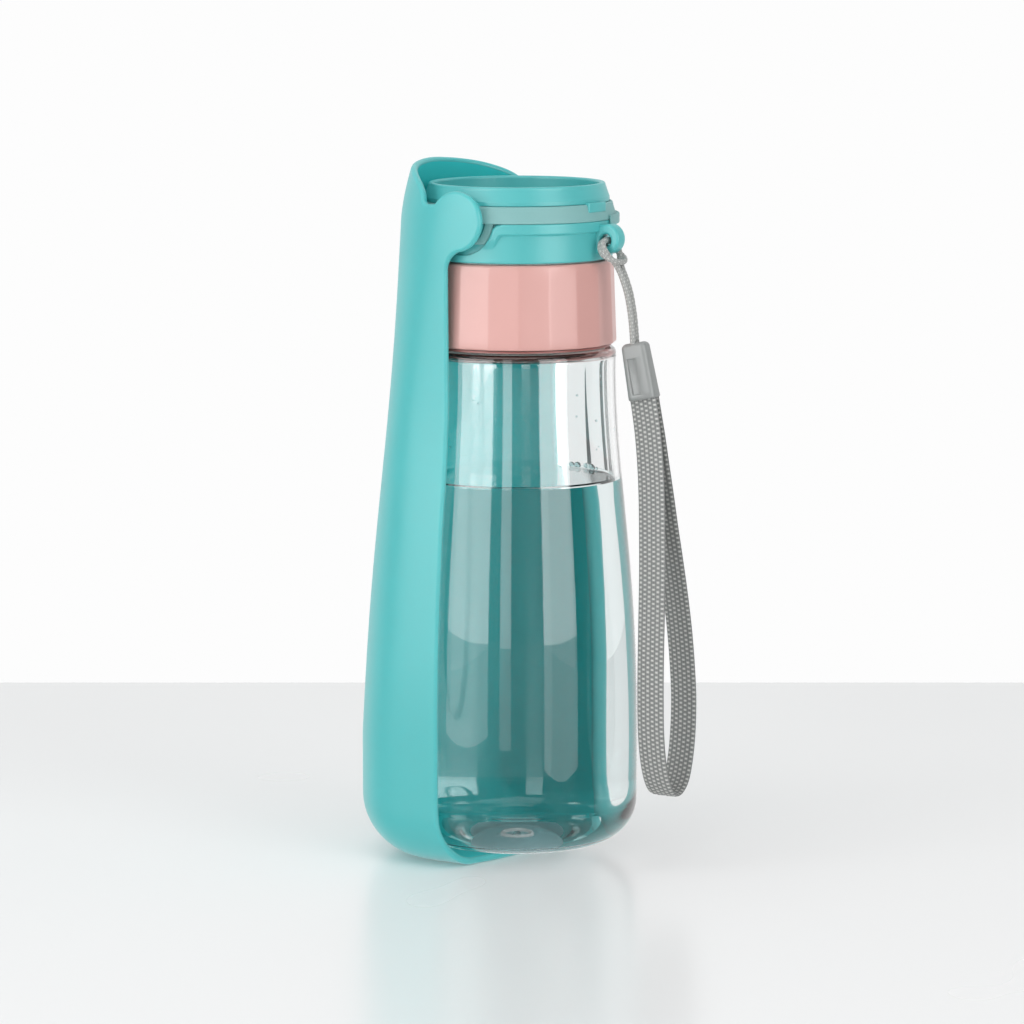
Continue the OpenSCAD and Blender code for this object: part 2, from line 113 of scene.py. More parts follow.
# The cord's bight, which passes through the lug and round in front of both strands
HITCH_ROUTE = mirrored([
    (33.1, 0.0, 201.1), (33.1, -1.9, 201.1), (33.1, -3.5, 200.5), (33.5, -4.4, 199.0), (34.9, -5.0, 197.3),
    (36.9, -4.5, 196.0), (38.3, -2.9, 195.2), (38.9, -1.0, 194.8),
])
WEBBING_ROUTE = [
    (47.2, -1.0, 153.0), (48.3, -1.1, 147.0), (49.5, -1.4, 140.0), (50.7, -2.0, 131.0), (51.8, -3.0, 121.0),
    (52.8, -4.4, 110.0), (53.8, -6.0, 99.0), (54.6, -7.6, 88.0), (55.2, -9.0, 77.0), (55.6, -10.0, 66.0),
    (55.9, -10.5, 55.0), (56.0, -10.2, 45.0), (56.1, -8.8, 36.0), (56.2, -6.2, 29.0), (56.2, -2.4, 25.0),
    (56.2, 2.0, 24.8), (56.2, 6.2, 28.4), (56.1, 9.2, 36.0), (56.0, 10.8, 45.0), (55.9, 11.2, 55.0),
    (55.6, 10.6, 66.0), (55.2, 9.4, 77.0), (54.6, 7.8, 88.0), (53.8, 6.1, 99.0), (52.8, 4.5, 110.0),
    (51.8, 3.1, 121.0), (50.7, 2.0, 131.0), (49.5, 1.4, 140.0), (48.3, 1.1, 147.0), (47.2, 1.0, 153.0),
]
CLIP_TOP = (43.75, 0.0, 169.3)
CLIP_BOTTOM = (47.4, 0.0, 151.4)


class BottleSizes(bpy.types.PropertyGroup):
    """Sizes of the bottle and its water"""

    wall: FloatProperty(name="Wall", description="The bottle's thickness", default=0.0022, unit="LENGTH")
    largest: FloatProperty(name="Largest radius", description="Near the base", default=0.0392, unit="LENGTH")
    top: FloatProperty(name="Top radius", description="Below the shoulder", default=0.032, unit="LENGTH")
    water: FloatProperty(name="Water", description="Height over the floor", default=0.1233, unit="LENGTH")
    water_index: FloatProperty(
        name="Water index", default=1.235,
        description="How strongly water bends light, lowered to show the clear strip",
    )


class TraySizes(bpy.types.PropertyGroup):
    """Sizes of the drinking tray"""

    wall: FloatProperty(name="Wall", description="Thickness of the tray", default=0.0023, unit="LENGTH")
    spacing: FloatProperty(name="Spacing", description="Between mesh points", default=0.0022, unit="LENGTH")


class CollarSizes(bpy.types.PropertyGroup):
    """Sizes of the lock collar"""

    flats: IntProperty(name="Flats", description="How many round the collar", default=20, min=14, max=28)
    low: FloatProperty(name="Lower radius", description="At its corners", default=0.0322, unit="LENGTH")
    high: FloatProperty(name="Upper radius", description="At its corners", default=0.0312, unit="LENGTH")


class StrapSizes(bpy.types.PropertyGroup):
    """Sizes of the cord and the webbing"""

    cord: FloatProperty(name="Cord", description="Diameter of the thin cord", default=0.0019, unit="LENGTH")
    width: FloatProperty(name="Webbing width", description="Across the band", default=0.0096, unit="LENGTH")
    thickness: FloatProperty(name="Thickness", description="Of the webbing", default=0.0013, unit="LENGTH")
    columns: IntProperty(name="Weft columns", description="Light yarns across the webbing", default=6)


def linear(colour, alpha=1.0):
    """An sRGB hex colour as the linear colour that a socket takes."""
    parts = [int(colour[i : i + 2], 16) / 255 for i in (1, 3, 5)]
    return (*[c / 12.92 if c <= 0.04045 else ((c + 0.055) / 1.055) ** 2.4 for c in parts], alpha)


def add_node(tree, kind, inputs=None, take=0, **settings):
    """Adds a node to a tree and gives one of its outputs, or several where take is a tuple.

    inputs maps a socket's name or number to a value or to another node's output.
    """
    made = tree.nodes.new(kind)
    for name, value in settings.items():
        setattr(made, name, value)
    for name, value in (inputs or {}).items():
        if isinstance(value, Wire):
            tree.links.new(value.socket, made.inputs[name])
        else:
            made.inputs[name].default_value = value
    if isinstance(take, tuple):
        return [Wire(tree, made.outputs[name]) for name in take]
    return Wire(tree, made.outputs[take]) if made.outputs else None


def worked(tree, operation, *values):
    """What one Math node makes of its values."""
    return add_node(tree, "ShaderNodeMath", dict(enumerate(values)), operation=operation)


class Wire:
    """An output in a node tree. Plain arithmetic on it adds Math nodes, and of() any other Math node."""

    def __init__(self, tree, socket):
        self.tree, self.socket = tree, socket

    def of(self, operation, *others):
        return worked(self.tree, operation, self, *others)

    __add__ = partialmethod(of, "ADD")
    __sub__ = partialmethod(of, "SUBTRACT")
    __mul__ = partialmethod(of, "MULTIPLY")
    __truediv__ = partialmethod(of, "DIVIDE")


def vector(tree, *parts):
    """Three numbers as a vector."""
    return add_node(tree, "ShaderNodeCombineXYZ", dict(enumerate(parts)))


def mapped(tree, value, to=(0.0, 1.0), start=(0.0, 1.0), **settings):
    """A value taken from one range to another."""
    ends = dict(zip(("From Min", "From Max", "To Min", "To Max"), (*start, *to)))
    return add_node(tree, "ShaderNodeMapRange", {"Value": value, **ends}, **settings)


def noise(tree, scale, detail=2.0):
    """Soft noise that is fixed to the piece."""
    place = add_node(tree, "ShaderNodeTexCoord", take="Object")
    return add_node(tree, "ShaderNodeTexNoise", {"Vector": place, "Scale": scale, "Detail": detail}, "Fac")


def blend(tree, share, low, high):
    """A colour between two linear ones."""
    return add_node(tree, "ShaderNodeMix", {0: share, 6: low, 7: high}, 2, data_type="RGBA")


def bump(tree, height, strength, distance):
    """A fine relief as a normal."""
    return add_node(tree, "ShaderNodeBump", {"Height": height, "Strength": strength, "Distance": distance})


def mix(tree, share, one, two):
    """Two shaders mixed."""
    return add_node(tree, "ShaderNodeMixShader", {0: share, 1: one, 2: two})


def principled(tree, inputs):
    """A Principled shader."""
    return add_node(tree, "ShaderNodeBsdfPrincipled", inputs)


def new_material(name, colour, alpha=1.0):
    """An empty node material, with its plain colour for the viewport."""
    made = bpy.data.materials.new(name)
    made.use_nodes = True
    made.node_tree.nodes.clear()
    made.diffuse_color = linear(colour, alpha)
    return made, made.node_tree


def output(tree, surface):
    """Ends a material's tree."""
    add_node(tree, "ShaderNodeOutputMaterial", {"Surface": surface})


def moulded_plastic(name, colour, roughness, grain_mm=0.5, depth=0.06, vary=0.03, shine=0.5, see_through=0.0):
    """Injection-moulded plastic: an even colour that drifts a little, and the tool's fine surface grain."""
    made, tree = new_material(name, colour)
    base = linear(colour)[:3]
    low, high = ((*(min(1.0, c * share) for c in base), 1.0) for share in (1 - vary, 1 + vary))
    grain = noise(tree, 1000.0 / grain_mm, 3.0)
    inputs = {
        "Base Color": blend(tree, noise(tree, 28.0), low, high),
        "Roughness": mapped(tree, grain, (roughness - 0.05, roughness + 0.05)),
        "Normal": bump(tree, grain, depth, grain_mm * MM),
        "IOR": 1.49,
        "Specular IOR Level": shine,
    }
    if see_through:
        # Light seeps further in the plastic's own colour, so its shaded faces glow a little
        seep = tuple(0.15 + 0.85 * c / max(base) for c in base)
        inputs["Subsurface Weight"] = see_through
        inputs.update({"Subsurface Radius": seep, "Subsurface Scale": 3 * MM})
    output(tree, principled(tree, inputs))
    return made


def steel(name, colour):
    """Turned stainless steel: bright, with fine rings from the lathe tool."""
    made, tree = new_material(name, colour)
    rings = bump(tree, noise(tree, 900.0), 0.05, 0.0003)
    metal = {"Base Color": linear(colour), "Metallic": 1.0, "Roughness": 0.3, "Normal": rings}
    output(tree, principled(tree, metal))
    return made


def clear_wall(name, colour, ior, roughness=0.0, haze=0.0, milk="#8fd2da"):
    """A clear face that light passes. Its shadow is thin, because light goes through the real wall too."""
    made, tree = new_material(name, colour, 0.35)
    glass = principled(
        tree, {"Base Color": linear(colour), "Roughness": roughness, "IOR": ior, "Transmission Weight": 1.0}
    )
    if haze:
        glass = mix(tree, haze, glass, add_node(tree, "ShaderNodeBsdfDiffuse", {"Color": linear(milk)}))
    passing = add_node(tree, "ShaderNodeBsdfTransparent", {"Color": linear("#fefefe")})
    rays = add_node(tree, "ShaderNodeLightPath", take=("Is Shadow Ray", "Is Diffuse Ray"))
    output(tree, mix(tree, worked(tree, "MAXIMUM", *rays), glass, passing))
    return made


def only_tinting(name, colour):
    """A face that only tints what is behind it."""
    made, tree = new_material(name, colour, 0.3)
    output(tree, add_node(tree, "ShaderNodeBsdfTransparent", {"Color": linear(colour)}))
    return made


def yarn(name, dark, light):
    """Woven polyester. Its points' yarn_tone says how light each yarn is. The fibres are fine and dull."""
    made, tree = new_material(name, light)
    fibres = noise(tree, 5000.0)
    tone = add_node(tree, "ShaderNodeAttribute", take="Fac", attribute_name="yarn_tone")
    shade = blend(tree, fibres.of("MULTIPLY_ADD", 0.25, tone), linear(dark), linear(light))
    hairs = bump(tree, fibres, 0.3, 0.0001)
    woven = {"Base Color": shade, "Roughness": 0.85, "Sheen Weight": 0.15, "Normal": hairs}
    output(tree, principled(tree, woven))
    return made


def kept(tree, name, kind="FLOAT"):
    """A value that the mesh carries at its points."""
    return add_node(tree, "GeometryNodeInputNamedAttribute", {"Name": name}, "Attribute", data_type=kind)


def geometry_tree(name, inputs):
    """An empty Geometry Nodes group with named inputs, as (name, kind), and their outlets inside it."""
    tree = bpy.data.node_groups.new(name, "GeometryNodeTree")
    for label, kind in (("Geometry", "Geometry"), *inputs, ("Material", "Material")):
        tree.interface.new_socket(label, in_out="INPUT", socket_type="NodeSocket" + kind)
    tree.interface.new_socket("Geometry", in_out="OUTPUT", socket_type="NodeSocketGeometry")
    return tree, {socket.name: Wire(tree, socket) for socket in tree.nodes.new("NodeGroupInput").outputs}


def close_tree(tree, geometry, given):
    """Ends a group: instances made real, and the material put on."""
    real = add_node(tree, "GeometryNodeRealizeInstances", {"Geometry": geometry})
    painted = add_node(tree, "GeometryNodeSetMaterial", {"Geometry": real, "Material": given["Material"]})
    add_node(tree, "NodeGroupOutput", {"Geometry": painted})
    return tree


def position(tree):
    """A point's X, Y and Z in a Geometry Nodes group."""
    place = add_node(tree, "GeometryNodeInputPosition")
    return add_node(tree, "ShaderNodeSeparateXYZ", {0: place}, ("X", "Y", "Z"))


def displaced(tree, geometry, rise, tone):
    """Moves each point along its own lift by rise, and keeps its tone for the yarn's material."""
    lift = kept(tree, "lift", "FLOAT_VECTOR")
    offset = add_node(tree, "ShaderNodeVectorMath", {0: lift, "Scale": rise}, operation="SCALE")
    moved = add_node(tree, "GeometryNodeSetPosition", {"Geometry": geometry, "Offset": offset})
    return add_node(
        tree, "GeometryNodeStoreNamedAttribute", {"Geometry": moved, "Name": "yarn_tone", "Value": tone},
        data_type="FLOAT", domain="POINT",
    )


def smooth(t):
    """Goes gently from 0 to 1 as t does."""
    t = np.clip(t, 0.0, 1.0)
    return t * t * (3 - 2 * t)


def placed(name, data):
    """A new object in the scene."""
    made = bpy.data.objects.new(name, data)
    bpy.context.scene.collection.objects.link(made)
    return made


def final_mesh(piece):
    """An object's mesh with its modifiers worked in."""
    bpy.context.view_layer.update()
    return bpy.data.meshes.new_from_object(piece.evaluated_get(bpy.context.evaluated_depsgraph_get()))


def plain(piece):
    """Keeps what a piece's modifiers make of it as its plain mesh."""
    mesh = final_mesh(piece)
    piece.modifiers.clear()
    piece.data = mesh
    mesh.shade_smooth()


def grow(piece, tree, values):
    """Runs a Geometry Nodes group on a piece and keeps what comes out."""
    modifier = piece.modifiers.new(tree.name, "NODES")
    modifier.node_group = tree
    for item in tree.interface.items_tree:
        if item.item_type == "SOCKET" and item.in_out == "INPUT" and item.name in values:
            modifier[item.identifier] = values[item.name]
    plain(piece)


def mesh_piece(
    name, points, faces, materials, body, slot, replaces=(), picks=None, normals=None, rule=None, marks=None
):
    """A finished piece from points in mm. picks gives each face's material, marks what its points carry.

    rule is a Geometry Nodes group with its inputs' values, which shapes the piece further.
    """
    mesh = bpy.data.meshes.new(name)
    mesh.from_pydata((np.asarray(points, float) * MM).tolist(), [], [list(map(int, f)) for f in faces])
    mesh.validate()
    for m in materials:
        mesh.materials.append(m)
    mesh.shade_smooth()
    if picks is not None:
        mesh.polygons.foreach_set("material_index", np.asarray(picks, np.int32))
    if normals is not None:
        mesh.normals_split_custom_set_from_vertices(np.asarray(normals, float).tolist())
    mesh.update()
    for label, values in (marks or {}).items():
        values = np.asarray(values, np.float32)
        kind, field = ("FLOAT_VECTOR", "vector") if values.ndim == 2 else ("FLOAT", "value")
        mesh.attributes.new(label, kind, "POINT").data.foreach_set(field, values.ravel())
    made = placed(name, mesh)
    if rule:
        grow(made, rule[0], {**rule[1], "Material": materials[0]})
    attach(made, body)
    if replaces:
        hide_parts(*replaces)
    return made


def keep_edges(piece, degrees):
    """Leaves a smooth piece's edges sharp from an angle on."""
    piece.data.set_sharp_from_angle(angle=math.radians(degrees))


def grid_faces(rows, columns, close_rows=False, close_columns=False):
    """Quads over a grid of points stored row by row."""
    faces = []
    for i in range(rows if close_rows else rows - 1):
        this, after = i * columns, (i + 1) % rows * columns
        for j in range(columns if close_columns else columns - 1):
            k = (j + 1) % columns
            faces.append((this + j, this + k, after + k, after + j))
    return faces


def tube_faces(rows, columns):
    """Faces of a tube of points stored ring by ring, with its two ends closed."""
    ends = [tuple(range(columns - 1, -1, -1)), tuple(range((rows - 1) * columns, rows * columns))]
    return grid_faces(rows, columns, close_columns=True) + ends


def arc(centre, r, start, end, steps):
    """Points of an arc, its angles in degrees."""
    angles = np.radians(np.linspace(start, end, steps + 1))
    return [(centre[0] + r * math.cos(a), centre[1] + r * math.sin(a)) for a in angles]


def circle(centre, r, steps):
    """Points of a whole circle."""
    return arc(centre, r, 0, 360, steps)[:-1]


def rounded(path):
    """A closed 2D outline in mm whose corners are rounded. path holds (x, y) or (x, y, radius)."""
    points = [np.array(p[:2], float) for p in path]
    out = []
    for i, p in enumerate(points):
        r = path[i][2] if len(path[i]) > 2 else 0.0
        if r <= 0:
            out.append(p)
            continue
        back, ahead = points[i - 1] - p, points[(i + 1) % len(path)] - p
        room = 0.49 * min(np.linalg.norm(back), np.linalg.norm(ahead))
        back, ahead = back / np.linalg.norm(back), ahead / np.linalg.norm(ahead)
        half = math.acos(float(np.clip(np.dot(back, ahead), -1, 1))) / 2
        if half > math.radians(88):
            out.append(p)
            continue
        r = min(r, room * math.tan(half))
        reach = r / math.tan(half)
        middle = (back + ahead) / np.linalg.norm(back + ahead)
        centre = p + middle * r / math.sin(half)
        a, b = p + back * reach - centre, p + ahead * reach - centre
        # A short straight run on each side keeps the rounding's shading off the flat faces
        run = reach + min(0.3 * r, room - reach + 1e-6)
        out.append(p + back * run)
        turn = math.pi - 2 * half
        for k in range(7):
            f = k / 6
            out.append(centre + (a * math.sin((1 - f) * turn) + b * math.sin(f * turn)) / math.sin(turn))
        out.append(p + ahead * run)
    return np.array(out)


def revolve(outline, steps=200):
    """Points and faces of a closed (radius, height) outline, solid on its left, turned about the axis."""
    points, rings = [], []
    angles = np.arange(steps) * 2 * math.pi / steps
    for r, z in np.asarray(outline, float):
        on_axis = r < 1e-6
        rings.append(list(range(len(points), len(points) + (1 if on_axis else steps))))
        points += [(0.0, 0.0, z)] if on_axis else [(r * math.cos(a), r * math.sin(a), z) for a in angles]
    faces = []
    for low, high in zip(rings, rings[1:] + rings[:1]):
        if len(low) == 1 and len(high) == 1:
            continue
        for k in range(steps):
            n = (k + 1) % steps
            if len(low) == 1:
                faces.append((low[0], high[n], high[k]))
            elif len(high) == 1:
                faces.append((low[k], low[n], high[0]))
            else:
                faces.append((low[k], low[n], high[n], high[k]))
    return points, faces


def run_along(line):
    """How far along a line of points each one lies."""
    return np.concatenate([[0], np.cumsum(np.linalg.norm(np.diff(line, axis=0), axis=1))])


def sweep_frames(route, spacing):
    """Evenly spaced points along a smooth curve through the route, in mm, with the way along at each."""
    route = np.asarray(route, float)
    fine = []
    padded = np.vstack([2 * route[0] - route[1], route, 2 * route[-1] - route[-2]])
    for i in range(1, len(padded) - 2):
        a, b, c, d = padded[i - 1 : i + 3]
        for t in np.linspace(0, 1, 24, endpoint=False):
            curve = 2 * b + (c - a) * t + (2 * a - 5 * b + 4 * c - d) * t**2
            fine.append(0.5 * (curve + (3 * b - a - 3 * c + d) * t**3))
    fine = np.array(fine + [route[-1]])
    gone = run_along(fine)
    marks = np.linspace(0, gone[-1], max(4, int(round(gone[-1] / spacing))) + 1)
    line = np.stack([np.interp(marks, gone, fine[:, k]) for k in range(3)], 1)
    along = np.gradient(line, axis=0)
    along /= np.linalg.norm(along, axis=1)[:, None]
    return line, along, marks


def across_frames(along):
    """The strap's width and thickness directions, the width near X, as in the CAD."""
    flat = np.array([1.0, 0, 0]) - along[:, :1] * along
    flat /= np.linalg.norm(flat, axis=1)[:, None]
    return flat, np.cross(along, flat)


def solid_from_curve(loops, half_depth, bevel, turn):
    """A plate with holes from closed loops in mm, half_depth either way, its edges rounded."""
    curve = bpy.data.curves.new("plate", "CURVE")
    curve.dimensions = "2D"
    curve.fill_mode = "BOTH"
    curve.extrude = half_depth - bevel
    curve.bevel_depth = bevel
    curve.bevel_resolution = 3
    curve.offset = -bevel
    for loop in loops:
        line = curve.splines.new("POLY")
        line.points.add(len(loop) - 1)
        for point, (x, y) in zip(line.points, loop):
            point.co = (x, y, 0, 1)
        line.use_cyclic_u = True
    drawn = placed("plate", curve)
    mesh = final_mesh(drawn)
    bpy.data.objects.remove(drawn)
    mesh.transform(turn)
    return lists_of(mesh)


def lists_of(mesh):
    """A mesh as its points and faces. The mesh itself is removed."""
    lists = [tuple(v.co) for v in mesh.vertices], [tuple(p.vertices) for p in mesh.polygons]
    bpy.data.meshes.remove(mesh)
    return lists


def cube(name, matrix):
    """A unit cube's mesh under a matrix."""
    mesh, shape = bpy.data.meshes.new(name), bmesh.new()
    bmesh.ops.create_cube(shape, size=1.0)
    shape.transform(matrix)
    shape.to_mesh(mesh)
    shape.free()
    return mesh


def face_out(mesh, merge=0.0):
    """Turns a closed mesh's faces outwards, after its doubled points closer than merge are made one."""
    shape = bmesh.new()
    shape.from_mesh(mesh)
    if merge:
        bmesh.ops.remove_doubles(shape, verts=shape.verts, dist=merge)
    bmesh.ops.recalc_face_normals(shape, faces=shape.faces)
    shape.to_mesh(mesh)
    shape.free()


def joined(*parts):
    """Several (points, faces) lists as one."""
    points, faces = [], []
    for p, f in parts:
        start = len(points)
        points += [tuple(map(float, q)) for q in p]
        faces += [tuple(start + k for k in face) for face in f]
    return points, faces


def bent_block(low, high, r, turn):
    """A block in mm with its edges rounded, bent along a circle about the axis and turned by some degrees."""
    shape = bmesh.new()
    bmesh.ops.create_cube(shape, size=1.0)
    long = [e for e in shape.edges if abs(e.verts[0].co.y - e.verts[1].co.y) > 0.5]
    bmesh.ops.subdivide_edges(shape, edges=long, cuts=10, use_grid_fill=True)
    low, high = Vector(low), Vector(high)
    shape.transform(Matrix.Translation((low + high) / 2) @ Matrix.Diagonal((*(high - low), 1)))
    corners = [e for e in shape.edges if e.calc_face_angle(0) > 0.5]
    bmesh.ops.bevel(shape, geom=corners, offset=r, segments=3, profile=0.5, affect="EDGES")
    for v in shape.verts:
        angle = v.co.y / high.x + math.radians(turn)
        v.co = Vector((v.co.x * math.cos(angle), v.co.x * math.sin(angle), v.co.z))
    mesh = bpy.data.meshes.new("block")
    shape.to_mesh(mesh)
    shape.free()
    return lists_of(mesh)


def barrel_radius(z, s):
    """Outer radius of the bottle's barrel at a height, in mm, as in the CAD source."""
    low, high = 30.0, 160.0
    share = np.clip((z - low) / (high - low), 0, 1) ** 1.35
    return s.top / MM + (s.largest - s.top) / MM * (0.5 + 0.5 * np.cos(np.pi * share))


class BOTTLE_OT_camera(bpy.types.Operator):
    """Sets the camera where the photograph was taken from"""

    bl_idname = "dog_bottle.camera"
    bl_label = "Camera"

    def execute(self, context):
        data = bpy.data.cameras.new("camera")
        data.lens = CAMERA_LENS
        data.sensor_width = 36
        data.shift_x = -AXIS_OFFSET_PX / IMAGE_SIDE
        data.clip_start = 0.01
        camera = placed("camera", data)
        camera.location = CAMERA_AT
        camera.rotation_euler = (Vector(CAMERA_AIM) - Vector(CAMERA_AT)).to_track_quat("-Z", "Y").to_euler()
        context.scene.camera = camera
        return {"FINISHED"}


class BOTTLE_OT_strap(bpy.types.Operator):
    """Braids the thin cord, moulds its clip and weaves the webbing loop"""

    bl_idname = "dog_bottle.strap"
    bl_label = "Wrist Strap"

    def execute(self, context):
        sizes = context.scene.dog_strap
        # Polyester yarn in two greys: dark warp with pale weft that shows as rows of flecks, dull and hairy
        grey_yarn = yarn("grey polyester webbing yarn", "#4d5253", "#dededa")
        # ABS clip, moulded with a smooth satin face
        satin = moulded_plastic("satin grey moulded ABS clip", "#979a99", 0.38, grain_mm=0.6, depth=0.03)
        clip = self.clip(satin)
        tree, radius = self.braid_tree(), sizes.cord / MM / 2
        self.braid("wrist_cord_hitch", HITCH_ROUTE, 0.95 * radius, grey_yarn, tree)
        cord = self.braid("wrist_cord_braid", CORD_ROUTE, radius, grey_yarn, tree, ["wrist_cord"])
        webbing = self.webbing(sizes, grey_yarn)
        line, length = self.path(CORD_ROUTE, 0.8)
        line, length = self.path(WEBBING_ROUTE, 1.5)
        return {"FINISHED"}

    def path(self, route, spacing):
        """A route's points in metres, and its length."""
        line = [tuple(np.array(p) * MM) for p in sweep_frames(route, spacing)[0]]
        return line, float(run_along(np.array(line))[-1])

    def braid_tree(self):
        """Two families of strands that cross round a cord and stand a little proud of it."""
        tree, given = geometry_tree("braid", (("Strands", "Int"), ("Pitch", "Float"), ("Relief", "Float")))
        around = kept(tree, "angle") * given["Strands"]
        along = kept(tree, "gone") * (4 * math.pi) / given["Pitch"]
        one, two = (around - along).of("COSINE"), (around + along).of("COSINE")
        rise = one.of("MAXIMUM", two)
        crest = rise.of("MAXIMUM", 0.0).of("POWER", 2.0)
        tone = (one * two).of("MAXIMUM", 0.0).of("MULTIPLY_ADD", 0.5, crest.of("MULTIPLY_ADD", 0.22, 0.22))
        return close_tree(tree, displaced(tree, given["Geometry"], rise * given["Relief"], tone), given)

    def braid(self, name, route, radius, material, tree, replaces=()):
        """A length of cord along a route, as a plain tube that the tree then braids."""
        line, along, gone = sweep_frames(route, 0.2)
        across, thick = across_frames(along)
        angles = np.arange(STRAP_RING) * 2 * math.pi / STRAP_RING
        cos, sin = np.cos(angles)[None, :, None], np.sin(angles)[None, :, None]
        lift = across[:, None] * cos + thick[:, None] * sin
        points = (line[:, None] + 0.95 * radius * lift).reshape(-1, 3)
        marks = {
            "angle": np.tile(angles, len(line)), "gone": np.repeat(gone, STRAP_RING),
            "lift": lift.reshape(-1, 3),
        }
        rule = (tree, {"Strands": 4, "Pitch": 4.4, "Relief": 0.07 * radius * MM})
        return mesh_piece(
            name, points, tube_faces(len(line), STRAP_RING), [material], "strap", "strap_fabric", replaces,
            rule=rule, marks=marks,
        )

    def clip(self, material):
        """A tapered clip with round shoulders and a sunk window on each broad face."""
        top, bottom = np.array(CLIP_TOP), np.array(CLIP_BOTTOM)
        height = float(np.linalg.norm(top - bottom))
        lean = math.atan2(top[0] - bottom[0], top[2] - bottom[2])
        # Heights, each with how far the outline stands in there
        levels = [(0.0, -0.5), (0.12, -0.22), (0.5, 0.0)]
        levels += [(height * f, -0.45 * f) for f in (0.15, 0.3, 0.45, 0.6, 0.75)]
        shoulder = 1.5
        for angle in np.radians(range(0, 91, 15)).tolist():
            inset = 0.42 + shoulder * (1 - math.cos(angle))
            levels.append((height - shoulder + shoulder * math.sin(angle), -inset))
        half_w, half_t, corner, count = 4.9, 2.9, 1.7, 8
        points = []
        for z, inset in levels:
            w, t = half_w + inset, half_t + max(inset, -1.6)
            c = min(corner, w - 0.1, t - 0.1)
            for start, (x, y) in ((0, (1, 1)), (90, (-1, 1)), (180, (-1, -1)), (270, (1, -1))):
                points += [(*p, z) for p in arc((x * (w - c), y * (t - c)), c, start, start + 90, count)]
        faces = tube_faces(len(levels), 4 * (count + 1))
        made = mesh_piece("cord_clip_body", points, faces, [material], "strap", "clip_plastic", ["cord_clip"])
        place = Matrix.Translation(Vector(bottom * MM)) @ Matrix.Rotation(lean, 4, "Y")
        made.data.transform(place)
        windows = []
        for side in (-1, 1):
            centre = Matrix.Translation(Vector((-1.0, side * 2.78, height * 0.1 + 5.75)) * MM)
            size = Matrix.Diagonal((3.0 * MM, 1.2 * MM, 11.5 * MM, 1))
            windows.append(placed("window", cube("window", place @ centre @ size)))
            carve = made.modifiers.new("window", "BOOLEAN")
            carve.operation = "DIFFERENCE"
            carve.solver = "EXACT"
            carve.object = windows[-1]
        ease = made.modifiers.new("ease", "BEVEL")
        ease.width = 0.0002
        ease.segments = 2
        ease.limit_method = "ANGLE"
        ease.angle_limit = math.radians(50)
        plain(made)
        keep_edges(made, 40)
        for window in windows:
            bpy.data.objects.remove(window)
        return made

    def weave_tree(self):
        """Columns of pale weft flecks that stand between darker warp ribs."""
        inputs = (("Columns", "Int"), ("Pitch", "Float"), ("Half Thickness", "Float"))
        tree, given = geometry_tree("weave", inputs)
        cell = kept(tree, "share") * given["Columns"]
        inside = cell.of("FRACT")
        odd = cell.of("FLOOR").of("FLOORED_MODULO", 2.0) * 0.5
        phase = kept(tree, "gone") / given["Pitch"] + odd + kept(tree, "shift")
        tall = (phase * (2 * math.pi)).of("COSINE").of("MAXIMUM", 0.0).of("POWER", 0.8)
        wide = (inside * math.pi).of("SINE").of("POWER", 2.5)
        fleck = tall * wide
        rib = (inside * (4 * math.pi)).of("COSINE").of("MULTIPLY_ADD", -0.5, 0.5)
        edge = kept(tree, "edge")
        level = edge.of("MAXIMUM", 0.3) * 0.72
        rise = rib.of("MULTIPLY_ADD", -0.05, level + fleck * edge * 0.28)
        tone = rib.of("MULTIPLY_ADD", 0.1, fleck.of("POWER", 0.8).of("MULTIPLY_ADD", 0.85, 0.06))
        moved = displaced(tree, given["Geometry"], rise * given["Half Thickness"], tone)
        return close_tree(tree, moved, given)

    def webbing(self, sizes, material):
        """The webbing as a band with no thickness yet, which the tree swells and weaves."""
        line, along, gone = sweep_frames(WEBBING_ROUTE, 0.3)
        across, thick = across_frames(along)
        flat = np.linspace(-1, 1, 8 * sizes.columns + 1)[:-1]
        u = np.concatenate([flat, -flat])
        side = np.repeat([1.0, -1.0], len(flat))
        points = line[:, None] + across[:, None] * (0.985 * sizes.width / MM / 2 * u)[None, :, None]
        lift = thick[:, None] * side[None, :, None]
        ring, rows = len(u), len(line)
        marks = {
            "share": np.tile((u + 1) / 2 * 0.99999, rows), "edge": np.tile(1 - np.abs(u) ** 8, rows),
            "shift": np.tile(np.where(side < 0, 0.25, 0.0), rows), "gone": np.repeat(gone, ring),
            "lift": lift.reshape(-1, 3),
        }
        values = {"Columns": sizes.columns, "Pitch": 1.5, "Half Thickness": sizes.thickness / 2}
        return mesh_piece(
            "wrist_webbing_weave", points.reshape(-1, 3), tube_faces(rows, ring), [material], "strap",
            "strap_fabric", ["wrist_webbing"], rule=(self.weave_tree(), values), marks=marks,
        )


